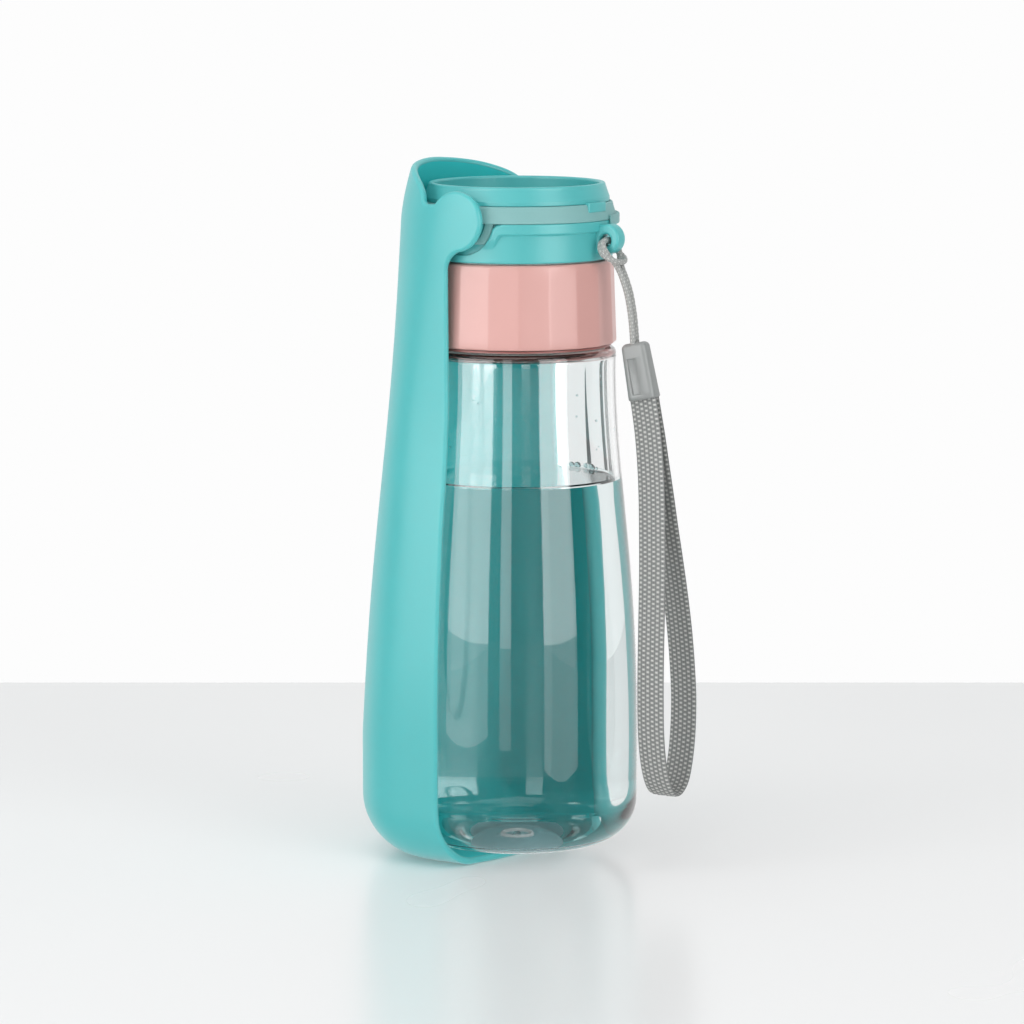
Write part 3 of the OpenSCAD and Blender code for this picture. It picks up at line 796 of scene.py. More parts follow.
class BOTTLE_OT_bottle(bpy.types.Operator):
    """Blows the clear bottle and fills it to its water level"""

    bl_idname = "dog_bottle.bottle"
    bl_label = "Bottle and Water"

    SEED = 5
    CLEAR_INDEX = 1.54
    CORNER = 14.0

    def execute(self, context):
        s = context.scene.dog_bottle_sizes
        clear, wetted = self.CLEAR_INDEX, self.CLEAR_INDEX / s.water_index
        # Clear copolyester, blown against a polished mould: glassy, with only a breath of blue-green
        dry = clear_wall("clear blown copolyester", "#fcfdfd", clear)
        # The same wall where water wets it: it bends light by the ratio of the two
        wet = clear_wall("clear copolyester against water", "#fcfefe", wetted)
        # Still drinking water's open surface
        surface = clear_wall("still water surface", "#fcfefe", 1.15)
        # Water's sides, which the wetted wall already shows
        side = only_tinting("water against the wall", "#fafdfd")
        # The base is lightly blasted in the mould, so it looks milky from above
        frosted = clear_wall("lightly frosted copolyester base", "#f6fbfc", clear, 0.5, haze=0.25)
        milky = clear_wall("lightly frosted copolyester against water", "#f6fbfc", wetted, 0.3, haze=0.28)
        # Painted reflection: the shoulder under the collar is tinted brown-pink, as if it mirrored the
        # collar's shaded lower side
        shaded = clear_wall("clear copolyester with painted collar reflection", "#a9817d", clear)
        # The gate's mark is sheared, so it is white and scatters
        gate = clear_wall("sheared copolyester gate mark", "#fdfefe", wetted, 0.2, 0.5, "#f2f8f8")
        # Beads of clean water
        bead = clear_wall("beads of water", "#e4f2f3", 1.16)
        wall, level = s.wall / MM, s.water / MM
        inner, outer = self.outlines(s, wall)
        points, faces = revolve(outer + inner)
        radii = np.array([max(math.hypot(*points[k][:2]) for k in f) for f in faces])
        middle = np.array([np.mean([points[k][2] for k in f]) for f in faces])
        inside = radii < np.array([self.wall_middle(z, s, wall) for z in middle])
        over = middle - BASE_Z
        picks = np.where(inside & (middle < level), 1, 0)
        picks[(middle < BASE_Z + 2.3) & (radii < 26.5)] = 2
        picks[inside & (middle < BASE_Z + 5.0) & (radii < 28.6)] = 3
        # The shoulder's faces under the collar take the painted reflection's brown-pink tint
        picks[(middle > SHOULDER_Z + 0.1) & (radii > 22.0)] = 4
        picks[(over > 4.9) & (over < 5.6) & (radii > 3.45) & (radii < 4.6)] = 5
        made = mesh_piece(
            "bottle_blown", points, faces, [dry, wet, frosted, milky, shaded, gate], "bottle", "bottle_clear",
            ["bottle"], picks,
        )
        face_out(made.data, 0.0005 * MM)
        self.ticks(s, dry)
        # The water climbs the wall a little where it meets it
        rim = float(barrel_radius(level, s)) - wall
        outline = [(rim * (1 - 0.06 * (1 - f)), level + 0.9 * f**3) for f in np.linspace(0.0, 1.0, 8)]
        outline = [(0.0, level)] + outline + [(max(0.0, r - 0.01), z) for r, z in inner if z < level]
        points, faces = revolve(outline[::-1])
        top = np.array([min(points[k][2] for k in f) > level - 0.05 for f in faces])
        water = mesh_piece("water_fill", points, faces, [side, surface], "bottle", "bottle_clear", (), top)
        face_out(water.data, 0.0005 * MM)
        self.drops(s, wall, level, bead)
        return {"FINISHED"}

    def drops(self, s, wall, level, material):
        """Beads of water clinging to the dry wall, the larger ones along the water's far edge."""
        inputs = (("Density", "Float"), ("Smallest", "Float"), ("Largest", "Float"), ("Seed", "Int"))
        tree, given = geometry_tree("beads on a wall", inputs)
        seed = given["Seed"]
        spread = {"Mesh": given["Geometry"], "Density": given["Density"], "Seed": seed}
        points, turns = add_node(tree, "GeometryNodeDistributePointsOnFaces", spread, ("Points", "Rotation"))
        ends = {2: given["Smallest"], 3: given["Largest"], "Seed": seed}
        size = add_node(tree, "FunctionNodeRandomValue", ends, 1, data_type="FLOAT")
        scale = add_node(tree, "ShaderNodeVectorMath", {0: (1.0, 0.8, 0.4), "Scale": size}, operation="SCALE")
        ball = add_node(tree, "GeometryNodeMeshIcoSphere", {"Radius": 1.0, "Subdivisions": 3})
        beads = {"Points": points, "Instance": ball, "Rotation": turns, "Scale": scale}
        close_tree(tree, add_node(tree, "GeometryNodeInstanceOnPoints", beads), given)
        # name, lowest and highest over the water, from and to round the wall, density, sizes
        kinds = (
            ("water_beads_fine", 3.0, 36.0, -150, 150, 4000.0, 0.0002, 0.00055),
            ("water_beads_at_line", 0.3, 0.9, 32, 96, 350000.0, 0.0008, 0.0015),
        )
        for name, low, high, start, end, density, smallest, largest in kinds:
            points = []
            for z in np.linspace(level + low, level + high, 6):
                r = float(barrel_radius(z, s)) - wall - 0.04
                points += [(*p, z) for p in arc((0, 0), r, start, end, 60)]
            values = {"Density": density, "Smallest": smallest, "Largest": largest, "Seed": self.SEED}
            mesh_piece(
                name, points, grid_faces(6, 61), [material], "bottle", "bottle_clear", rule=(tree, values)
            )

    def outlines(self, s, wall):
        """The bottle's inner and outer outlines, from the bottom up and from the top down."""
        zs = np.linspace(30, SHOULDER_Z, 60)
        centre = (s.largest / MM - self.CORNER, BASE_Z + self.CORNER)
        top = (float(barrel_radius(SHOULDER_Z, s)) - SHOULDER_R, SHOULDER_Z)
        # Radii with heights over the base: the punt underneath
        punt = ((0, 2.1), (7.0, 1.95), (12.5, 1.5), (16.5, 0.95), (19.5, 0.4), (21.0, 0.15), (22.5, 0.03))
        outer = [(r, BASE_Z + h) for r, h in punt]
        outer += arc(centre, self.CORNER, -86, 0, 22)
        outer += [(float(barrel_radius(z, s)), z) for z in zs]
        outer += arc(top, SHOULDER_R, 14, 90, 12)[1:]
        outer += [(24.8, TOP_Z), (24.3, TOP_Z + 0.3), (24.0, TOP_Z + 0.9)]
        for z in THREAD_LEVELS:
            ridge = ((24.0, -0.5), (25.0, 0), (25.2, 0.4), (25.2, 1.0), (25.0, 1.4), (24.0, 1.9))
            outer += [(r, z + h) for r, h in ridge]
        outer += [(24.0, 185.6), (23.9, 185.9), (23.6, 186.0), (21.6, 186.0), (21.3, 185.9), (21.2, 185.6)]
        below = ((21.2, 1.1), (21.3, -0.3), (21.7, -1.1), (22.5, -1.5), (23.5, -1.6))
        inner = [(r, TOP_Z + h) for r, h in below]
        eased = ((0.7, 0.0), (0.3, 0.08), (0.08, 0.3))
        inner += [(top[0] + SHOULDER_R - wall - d, TOP_Z - 1.6 - h) for d, h in eased]
        inner += [(float(barrel_radius(z, s)) - wall, z) for z in zs[::-1][1:]]
        inner += arc(centre, self.CORNER - wall, 0, -75, 18)[1:]
        # The floor, then the gate's ring and nub, left by the mould
        floor = ((22.0, 2.9), (19.5, 3.2), (16.5, 3.7), (12.0, 4.4), (6.0, 4.9))
        floor += ((4.5, 4.95), (4.2, 5.3), (3.7, 5.3), (3.4, 4.95), (1.2, 5.0), (0.8, 5.3), (0, 5.4))
        return inner + [(r, BASE_Z + h) for r, h in floor], outer

    def wall_middle(self, z, s, wall):
        """Radius of the middle of the wall at a height, which parts its inner faces from its outer ones."""
        over = z - BASE_Z
        if z > SHOULDER_Z - 0.4 or over <= 2.6:
            return 0.0
        if over <= 3.4:
            return 99.0
        if over < self.CORNER:
            drop = BASE_Z + self.CORNER - z
            reach = math.sqrt(max(0.0, (self.CORNER - wall / 2) ** 2 - drop**2))
            return s.largest / MM - self.CORNER + reach
        return float(barrel_radius(z, s)) - wall / 2

    def ticks(self, s, material):
        """Moulded level ticks, long and short in turn, laid out flat and then wrapped round the barrel."""
        floats = ((label, "Float") for label in ("Spacing", "Largest", "Top", "Turn"))
        tree, given = geometry_tree("level ticks", (("Count", "Int"), *floats))
        column = {"Count": given["Count"], "Start Location": (0.0, 0.0, 45.0)}
        column["Offset"] = vector(tree, 0.0, 0.0, given["Spacing"])
        block = {"Size": (0.3, 5.5, 0.6), "Vertices X": 2, "Vertices Y": 14, "Vertices Z": 2}
        odd = add_node(tree, "GeometryNodeInputIndex").of("FLOORED_MODULO", 2.0)
        even = worked(tree, "SUBTRACT", 1.0, odd)
        laid = {
            "Points": add_node(tree, "GeometryNodeMeshLine", column),
            "Instance": add_node(tree, "GeometryNodeMeshCube", block),
            "Scale": vector(tree, 1.0, even.of("MULTIPLY_ADD", 0.64, 1.0), 1.0),
        }
        laid = add_node(tree, "GeometryNodeInstanceOnPoints", laid)
        real = add_node(tree, "GeometryNodeRealizeInstances", {"Geometry": laid})
        x, y, z = position(tree)
        # The barrel's radius at this height, by the same rule as barrel_radius()
        share = (z - 30.0) / 130.0
        swing = (share.of("POWER", 1.35) * math.pi).of("COSINE").of("MULTIPLY_ADD", 0.5, 0.5)
        radius = (given["Largest"] - given["Top"]).of("MULTIPLY_ADD", swing, given["Top"])
        angle = y / radius + given["Turn"]
        out = (radius + x) * MM
        wrapped = vector(tree, out * angle.of("COSINE"), out * angle.of("SINE"), z * MM)
        moved = add_node(tree, "GeometryNodeSetPosition", {"Geometry": real, "Position": wrapped})
        close_tree(tree, moved, given)
        values = {
            "Count": 9, "Spacing": 13.0, "Largest": s.largest / MM, "Top": s.top / MM,
            "Turn": math.radians(-112),
        }
        made = mesh_piece("level_ticks", [], [], [material], "bottle", "bottle_clear", rule=(tree, values))
        keep_edges(made, 40)


class BOTTLE_OT_head(bpy.types.Operator):
    """Moulds the mouth ring with its cup, the seal and the shell with its lug"""

    bl_idname = "dog_bottle.head"
    bl_label = "Head"

    def execute(self, context):
        # Polypropylene, moulded satin: soft highlights and an even teal
        teal = moulded_plastic("satin teal moulded polypropylene", "#57bfc0", 0.36)
        # Silicone rubber: dull, slightly see-through, with a bloom of dust
        silicone = moulded_plastic(
            "grey-green silicone rubber", "#84b9b8", 0.55, grain_mm=0.7, depth=0.03, see_through=0.15
        )
        self.mouth_ring(teal)
        self.seal(silicone)
        self.shell(teal)
        return {"FINISHED"}

    def mouth_ring(self, material):
        """The rim and the cup's wall as one turned ring, with the cup's floor and its outlets set inside."""
        ring = revolve(rounded([
            (19.6, 196.0), (28.5, 196.0, 0.3), (28.5, SEAL_HIGH + 0.05), (29.8, SEAL_HIGH + 0.05, 0.25),
            (29.8, 214.4, 0.5), (28.5, 218.0, 1.5), (28.3, 219.0, 0.8), (26.6, 219.0, 0.9),
            (26.6, 216.8, 1.0), (26.4, 201.4, 1.5), (25.0, 198.6, 1.8), (19.6, 198.6),
        ]))
        far, near, half, corner = 18.5, 7.0, 24, 1.2
        loops = [circle((0, 0), 19.7, 120)]
        for middle in (0, 120, 240):
            first, last = middle - half, middle + half
            window = [(*p, 0) for p in arc((0, 0), far, first, last, 14)[1:-1]]
            window += [(*arc((0, 0), r, last, last, 1)[0], corner) for r in (far, near)]
            window += [(*p, 0) for p in arc((0, 0), near, last, first, 6)[1:-1]]
            window += [(*arc((0, 0), r, first, first, 1)[0], corner) for r in (near, far)]
            loops.append(rounded(window).tolist())
        floor = solid_from_curve(loops, 1.3, 0.25, Matrix.Translation((0, 0, 197.3)))
        tab = bent_block((28.0, -4.9, 210.5), (31.5, 4.9, SEAL_HIGH + 0.5), 0.35, TAB_TURN)
        made = mesh_piece(
            "mouth_ring_turned", *joined(ring, floor, tab), [material], "bottle", "head_teal", ["mouth_ring"]
        )
        keep_edges(made, 50)

    def seal(self, material):
        """The seal, its legs down both sides of each hub, and the flap for pulling it off."""
        ring = revolve(rounded([
            (28.55, SHELL_HIGH + 0.05), (32.0, SHELL_HIGH + 0.05, 0.25), (31.95, 208.4, 0.6),
            (31.0, 211.6, 1.5), (30.7, SEAL_HIGH, 0.7), (28.55, SEAL_HIGH),
        ]))
        legs = [self.leg(side, way) for side in (1, -1) for way in (1, -1)]
        half, turn = math.radians(FLAP_TO - FLAP_FROM) / 2 * 33.0, (FLAP_FROM + FLAP_TO) / 2
        flap = bent_block((32.1, -half, 205.9), (33.0, half, 209.2), 0.4, turn)
        root = bent_block((31.0, -half + 0.4, 207.8), (32.8, half - 0.4, 209.0), 0.3, turn)
        points, faces = joined(ring, flap, root, *legs)
        mesh_piece("tray_seal_ring", points, faces, [material], "bottle", "silicone_grey", ["tray_seal"])

    def leg(self, side, way):
        """One leg of the seal, which fills the gap between a hub and the cut-back shell."""
        rows, columns = 24, 12
        span = []
        for k in range(rows + 1):
            z = SADDLE_LOW + (SHELL_HIGH + 0.3 - SADDLE_LOW) * k / rows
            drop = HINGE_Z - z
            near = math.sqrt(max(0.0, 8.1**2 - drop**2))
            far = math.sqrt((RECESS_ROUND_R - 0.1) ** 2 - drop**2)
            for j in range(columns + 1):
                # Its two borders are eased
                ease = 0.25 * (1 - min(1.0, min(j, columns - j, k) / 2.0)) ** 2
                span.append((HINGE_X + way * (near + (far - near) * j / columns), 30.9 - ease, z))
        points = [(x, side * math.sqrt(r * r - x * x), z) for x, r, z in span]
        within = RECESS_R + 0.05
        points += [(x, side * math.sqrt(within * within - x * x), z) for x, _, z in span]
        size, wide = len(span), columns + 1
        faces = []
        for a, b, c, d in grid_faces(rows + 1, wide):
            faces += [(a, b, c, d), (size + d, size + c, size + b, size + a)]
        border = list(range(wide)) + [k * wide + columns for k in range(1, rows + 1)]
        border += [rows * wide + j for j in range(columns - 1, -1, -1)]
        border += [k * wide for k in range(rows - 1, 0, -1)]
        for k, m in zip(border, border[1:] + border[:1]):
            faces.append((m, k, size + k, size + m))
        mesh = bpy.data.meshes.new("leg")
        mesh.from_pydata(points, [], faces)
        face_out(mesh)
        return lists_of(mesh)

    def shell(self, material):
        """The shell's wall as a fine grid, raised where the bead and its borders round the ears run."""
        columns = 900
        heights = np.concatenate([
            [SHELL_LOW, SHELL_LOW + 0.1, SHELL_LOW + 0.35], np.arange(SHELL_LOW + 0.7, SHELL_HIGH - 0.6, 0.2),
            [SHELL_HIGH - 0.35, SHELL_HIGH - 0.1, SHELL_HIGH],
        ])
        angles = np.arange(columns) * 2 * math.pi / columns
        angle, z = np.meshgrid(angles, heights)
        x = SHELL_R * np.cos(angle)
        from_hinge = np.hypot(x - HINGE_X, z - HINGE_Z)
        in_bead, in_border = z - BEAD_LOW, BORDER_R - from_hinge
        either = np.log(np.exp(in_bead / 0.4) + np.exp(in_border / 0.4)) * 0.4
        # The border melts into the wall towards its lower end
        raised = smooth(either / 0.7 + 0.3) * smooth((z - BORDER_LOW + 1.5) / 3.5)
        radius = SHELL_R + (BEAD_R - SHELL_R) * raised
        # Cut back round each hub, with a flare up into the shell's edge
        reach = RECESS_ROUND_R + RECESS_CORNER
        over = HINGE_Z - SHELL_HIGH + RECESS_CORNER
        flare_x = math.sqrt(reach**2 - over**2)
        away = np.abs(x - HINGE_X)
        from_flare = np.hypot(away - flare_x, z - HINGE_Z + over) - RECESS_CORNER
        beside = (away * over < (HINGE_Z - z) * flare_x) | (away > flare_x)
        cut = np.where(beside, RECESS_ROUND_R - from_hinge, from_flare)
        cut = np.where(away > flare_x, -1.0, cut)
        # Its edge is rounded over
        lip = np.clip(1 + cut / 0.9, 0, 1)
        radius = np.where(cut < 0, radius - 0.55 * lip**2 * raised, RECESS_R)
        for k, drop in ((0, 0.35), (1, 0.12), (-1, 0.35), (-2, 0.12)):
            radius[k] -= drop
        bore = np.full(columns, SHELL_BORE)
        rings = zip([bore, *radius, bore], [SHELL_LOW, *heights, SHELL_HIGH])
        points = [np.stack([r * np.cos(angles), r * np.sin(angles), h + 0 * r], 1) for r, h in rings]
        wall = (np.vstack(points), grid_faces(len(points), columns, close_rows=True, close_columns=True))
        upright = Matrix.Rotation(math.pi / 2, 4, "X")
        round_hub = [circle((HINGE_X, HINGE_Z), HUB_R, 64)]
        sides = [Matrix.Translation((0, y, 0)) @ upright for y in (30.5, -30.5)]
        hubs = [solid_from_curve(round_hub, 2.5, 0.3, side) for side in sides]
        egg = [(29.6, 206.3)] + arc((34.1, 202.0), 4.9, 78, -84, 22) + [(29.6, 197.3)]
        lug = solid_from_curve([egg, circle((34.0, 201.6), 1.95, 32)], 2.4, 0.9, upright)
        made = mesh_piece(
            "head_shell_moulded", *joined(wall, *hubs, lug), [material], "bottle", "head_teal", ["head_shell"]
        )
        keep_edges(made, 60)


class BOTTLE_OT_collar(bpy.types.Operator):
    """Moulds the lock collar with its flats"""

    bl_idname = "dog_bottle.collar"
    bl_label = "Lock Collar"

    def execute(self, context):
        s = context.scene.dog_collar
        # Polypropylene, moulded satin: dusty pink, the flats catch the light one by one
        pink = moulded_plastic("satin pink moulded polypropylene", "#e0aaa3", 0.31)
        # Heights, each with how far its edges are eased in there
        levels = [(COLLAR_LOW + z, inset) for z, inset in ((0.0, 0.6), (0.1, 0.28), (0.3, 0.08), (0.6, 0.0))]
        levels += [(z, 0.0) for z in np.linspace(COLLAR_LOW + 3, COLLAR_HIGH - 3, 8)]
        levels += [(COLLAR_HIGH - z, inset) for z, inset in ((1.0, 0.0), (0.5, 0.1), (0.15, 0.4), (0.0, 0.9))]
        within = np.array([-0.5, -0.485, -0.47, -0.45, -0.25, 0.0, 0.25, 0.45, 0.47, 0.485]) + 0.5
        turns = (np.arange(s.flats)[:, None] + within[None, :]).ravel() * 2 * math.pi / s.flats + COLLAR_PHASE
        points, insets = [], []
        for z, inset in levels + [(COLLAR_HIGH, None), (COLLAR_LOW, None)]:
            f = (z - COLLAR_LOW) / (COLLAR_HIGH - COLLAR_LOW)
            corner = COLLAR_BORE if inset is None else s.low / MM * (1 - f) + s.high / MM * f
            points += [(corner * math.cos(t), corner * math.sin(t), z) for t in turns]
            insets += [-1.0 if inset is None else inset] * len(turns)
        faces = grid_faces(len(levels) + 2, len(turns), close_rows=True, close_columns=True)
        values = {"Flats": s.flats, "Phase": COLLAR_PHASE, "Band Height": (COLLAR_HIGH - 2.2) * MM}
        made = mesh_piece(
            "lock_collar_moulded", points, faces, [pink], "lock", "collar_pink", ["lock_collar"],
            rule=(self.flats_tree(), values), marks={"inset": insets},
        )
        keep_edges(made, 60)
        return {"FINISHED"}

    def flats_tree(self):
        """Presses flats into a round collar, which fade into a plain band under its top edge."""
        inputs = (("Flats", "Int"), ("Phase", "Float"), ("Band Height", "Float"))
        tree, given = geometry_tree("collar flats", inputs)
        x, y, z = position(tree)
        each = worked(tree, "DIVIDE", 2 * math.pi, given["Flats"])
        cell = ((y.of("ARCTAN2", x) - given["Phase"]) / each).of("FRACT")
        angle = (cell - 0.5) * each
        # Radius of a flat as a share of its corner's, and the two eased into each other
        flat = (each * 0.5).of("COSINE") / angle.of("COSINE")
        near = (flat * 1.0016).of("POWER", CRISP)
        eased = flat * (near + 1.0).of("POWER", -1 / CRISP)
        band = given["Band Height"]
        fade = mapped(tree, z, start=(band, band + 1.6 * MM), interpolation_type="SMOOTHSTEP")
        share = worked(tree, "SUBTRACT", 0.994, eased).of("MULTIPLY_ADD", fade, eased)
        corner = (x * x + y * y).of("SQRT")
        inset = kept(tree, "inset")
        share = share - inset * MM / corner
        pressed = {
            "Geometry": given["Geometry"], "Selection": inset.of("GREATER_THAN", -0.5),
            "Position": vector(tree, x * share, y * share, z),
        }
        return close_tree(tree, add_node(tree, "GeometryNodeSetPosition", pressed), given)


class BOTTLE_OT_tray(bpy.types.Operator):
    """Moulds the drinking tray as one smooth shell with a round lip"""

    bl_idname = "dog_bottle.tray"
    bl_label = "Drinking Tray"

    POLE = 12.0  # the section's rays start in front of the tray, so that the foot has no pole on it
    BACK_CORNER = 20.0
    SIDE_CORNER = 16.0
    DEEP = 50.4
    LOW_Y = 42.2
    TOP = 37.4
    SPREAD = 46.0  # mm to the radian, so that the flat map is about true to size
    FLOOR_RUN = 38.0
    CREASE = 26

    def execute(self, context):
        # Polypropylene, moulded satin: even teal with a soft broad shine along its rounded edge
        teal = moulded_plastic("satin teal polypropylene tray", "#59c5c6", 0.36, see_through=0.4)
        # The same plastic inside, blasted finer in the mould: duller. Its teal is painted lighter and purer
        # than outside, as painted light for the light that the bottle's walls hold back
        inside = moulded_plastic(
            "fine blasted teal polypropylene with painted light", "#4adcdd", 0.6, see_through=0.4, shine=0.1
        )
        s = context.scene.dog_tray
        self.wall = s.wall / MM
        half = self.boundary()
        loop = self.even(np.vstack([half, (half * [-1, 1])[::-1][1:-1]]), 0.9)
        points, faces, normals = self.shell(self.inset(loop, self.wall / 2), s.spacing / MM)
        # The wall's inner face takes the inside material, with its lighter teal of painted light
        picks = [1 if min(f) >= self.count and max(f) < 2 * self.count else 0 for f in faces]
        mesh_piece(
            "drinking_tray_moulded", points, faces, [teal, inside], "tray", "tray_teal", ["drinking_tray"],
            picks, normals,
        )
        return {"FINISHED"}

    def back(self, z):
        """Outer radius of the tray's back at a height."""
        t = np.clip((205.0 - z) / 165.0, 0, 1)
        main = self.TOP + (self.DEEP - self.TOP) * t - 0.65 * np.sin(2 * np.pi * t)
        hood = 4.15 * np.clip((z - 205.0) / 21.0, 0, 2) ** 1.6
        return main - hood

    def side(self, z):
        """Outer half width of the tray at a height."""
        t = np.clip((150.0 - z) / 104.0, 0, 1) ** 0.85
        u = np.clip((200.0 - z) / 90.0, 0, 1)
        return EAR_Y + (self.LOW_Y - EAR_Y) * (0.5 - 0.5 * np.cos(np.pi * t)) - np.sin(np.pi * u)

    def over_corner(self, z, size, corner):
        """Outer size of the tray at a height within its rounded lower edge."""
        return size - corner + np.sqrt(np.clip(corner**2 - (corner - np.minimum(z, corner)) ** 2, 0, None))

    def surface(self, flat):
        """Outer surface at flat map points (a, b): a runs round the tray, b from the foot up its back."""
        flat = np.atleast_2d(flat)
        angle, b = flat[:, 0] / self.SPREAD, flat[:, 1]
        corner_run = self.BACK_CORNER * math.pi / 2
        bend = np.clip(b / self.BACK_CORNER, 0, math.pi / 2)
        z = np.where(b < corner_run, self.BACK_CORNER * (1 - np.cos(bend)), self.BACK_CORNER + b - corner_run)
        low_back = self.over_corner(z, self.DEEP, self.BACK_CORNER)
        low_side = self.over_corner(z, self.LOW_Y, self.SIDE_CORNER)
        big = np.where(z < self.BACK_CORNER, low_back, self.back(z))
        wide = np.where(z < self.SIDE_CORNER, low_side, self.side(z))
        cos, sin = np.cos(angle), np.abs(np.sin(angle)) + 1e-6
        round_r = self.POLE * cos + np.sqrt(big**2 - (self.POLE * np.sin(angle)) ** 2)
        flat_r = wide / sin
        r = (round_r**-self.CREASE + flat_r**-self.CREASE) ** (-1 / self.CREASE)
        r = r * np.where(b < 0, 1 + b / self.FLOOR_RUN, 1.0)
        z = np.where(b < 0, 0.0, z)
        return np.stack([self.POLE - r * cos, r * np.sin(angle), z], 1)

    def normal(self, flat):
        """Outward normals, and the map's two directions in space."""
        flat = np.atleast_2d(flat).astype(float)
        step = 0.02
        da, db = (
            (self.surface(flat + way) - self.surface(flat - way)) / (2 * step)
            for way in (np.array([step, 0]), np.array([0, step]))
        )
        n = np.cross(db, da)
        return n / np.linalg.norm(n, axis=1)[:, None], da, db

    def height_to_map(self, z):
        """How far up the flat map a height lies."""
        if z >= self.BACK_CORNER:
            return self.BACK_CORNER * math.pi / 2 + z - self.BACK_CORNER
        return self.BACK_CORNER * math.acos(1 - z / self.BACK_CORNER)

    def find(self, x, z, widest=112.0):
        """Flat map point at a height whose place has this x, on the +Y side."""
        b = self.height_to_map(z)
        low, high = 0.0, math.radians(widest) * self.SPREAD
        for _ in range(40):
            middle = (low + high) / 2
            if self.surface([[middle, b]])[0][0] < x:
                low = middle
            else:
                high = middle
        return ((low + high) / 2, b)

    def boundary(self):
        """Edge of the tray on the +Y side in the flat map, from the tongue's tip to the hood's middle."""
        tip, big, line = 5.2, 70.0, []
        foot_width = self.LOW_Y - self.SIDE_CORNER
        for y in np.linspace(0, foot_width * 1.02, 24):
            x = tip - big + math.sqrt(big**2 - y**2)
            angle = math.atan2(y, self.POLE - x)
            full = np.linalg.norm(self.surface([[angle * self.SPREAD, 0.0]])[0][:2] - [self.POLE, 0])
            b = self.FLOOR_RUN * (math.hypot(self.POLE - x, y) / full - 1)
            if b < -0.3:
                line.append((angle * self.SPREAD, b))
        low_edge = (0.15, 0.6, 1.3, 2.3, 3.6, 5.2, 7, 9, 11.5, 14, 17, 20, 24, 30)
        for z in (*low_edge, *range(40, 161, 20), 175, 185):
            curl = 1 - (1 - min(z, 22) / 22) ** 2.4
            line.append(self.find(0.1 - 5.1 * curl, z))
        fillet, edge_x = 6.0, -5.0
        fx = edge_x + fillet
        drop = math.sqrt((EAR_R + fillet) ** 2 - (fx - HINGE_X) ** 2)
        end = math.degrees(math.atan2(-drop, fx - HINGE_X))
        # Round the ear, and through the notch behind it
        side_view = arc((fx, HINGE_Z - drop), fillet, 180, 180 + end, 10)
        side_view += arc((HINGE_X, HINGE_Z), EAR_R, end, 146, 40)[1:]
        side_view += [(-11.2, 213.5)] + arc((-13.6, 215.35), 1.9, -80, -165, 8)
        hood = [
            (-15.6, 0, 215.6), (-16.4, 0, 217.3), (-17.9, 0, 218.9), (-20.2, 0, 220.6), (-23.4, 0, 222.3),
            (-27.0, 0, 223.85), (-30.4, 0, 225.0), (-32.6, 0, 225.7),
        ]
        side_view += [(x, z) for x, _, z in sweep_frames(hood, 0.8)[0]]
        line += [self.find(x, z) for x, z in side_view]
        last, top = line[-1], self.height_to_map(226.0)
        for f in (0.25, 0.5, 0.75, 1.0):
            line.append((last[0] * (1 - f), last[1] + (top - last[1]) * (1 - (1 - f) ** 2)))
        return np.array(line)

    def even(self, loop, spacing):
        """The closed loop again, with its points evenly spaced."""
        closed = np.vstack([loop, loop[:1]])
        gone = run_along(closed)
        marks = np.linspace(0, gone[-1], int(gone[-1] / spacing), endpoint=False)
        return np.stack([np.interp(marks, gone, closed[:, k]) for k in range(2)], 1)

    def outward(self, loop):
        """In-surface direction out of the tray at each point of its edge, and the map's directions there."""
        place = self.surface(loop)
        n, da, db = self.normal(loop)
        along = np.roll(place, -1, 0) - np.roll(place, 1, 0)
        along -= (along * n).sum(1)[:, None] * n
        along /= np.linalg.norm(along, axis=1)[:, None]
        out = np.cross(along, n)
        # The loop runs up its +Y side, so this turns the direction the right way for either winding
        if (out * (place - place.mean(0))).sum() < 0:
            out = -out
        return place, n, out, da, db

    def inset(self, loop, distance):
        """The loop moved into the tray by a distance along the surface."""
        _, _, out, da, db = self.outward(loop)
        moved = loop.copy()
        for k in range(len(loop)):
            basis = np.stack([da[k], db[k]], 1)
            step, *_ = np.linalg.lstsq(basis, -out[k] * distance, rcond=None)
            moved[k] += step
        return moved

    def thickness(self, place):
        """Wall thickness, with a little more at the ears that hold the pins."""
        from_hinge = np.hypot(place[:, 0] - HINGE_X, place[:, 2] - HINGE_Z)
        near = smooth((16.0 - from_hinge) / 6.0) * smooth((np.abs(place[:, 1]) - 30) / 4)
        return self.wall + 0.6 * near

    def net(self, edge, spacing):
        """A triangle net inside the edge: its flat map points, its triangles and the edge's points."""
        low, high = edge.min(0), edge.max(0)
        spots = np.array([
            (a, b)
            for k, b in enumerate(np.arange(low[1], high[1], spacing * 0.87))
            for a in np.arange(low[0] + (k % 2) * spacing / 2, high[0], spacing)
        ])
        spots = spots[self.inside(spots, edge)]
        gap = np.array([np.min(np.sum((edge - p) ** 2, axis=1)) for p in spots])
        spots = spots[gap > (0.62 * spacing) ** 2]
        count = len(edge)
        given = [Vector(p) for p in np.vstack([edge, spots])]
        ring = [(k, (k + 1) % count) for k in range(count)]
        flat, _, triangles, sources, _, _ = delaunay_2d_cdt(given, ring, [list(range(count))], 1, 1e-5)
        at = {s: k for k, group in enumerate(sources) for s in group}
        return np.array([tuple(p) for p in flat]), triangles, [at[k] for k in range(count)]

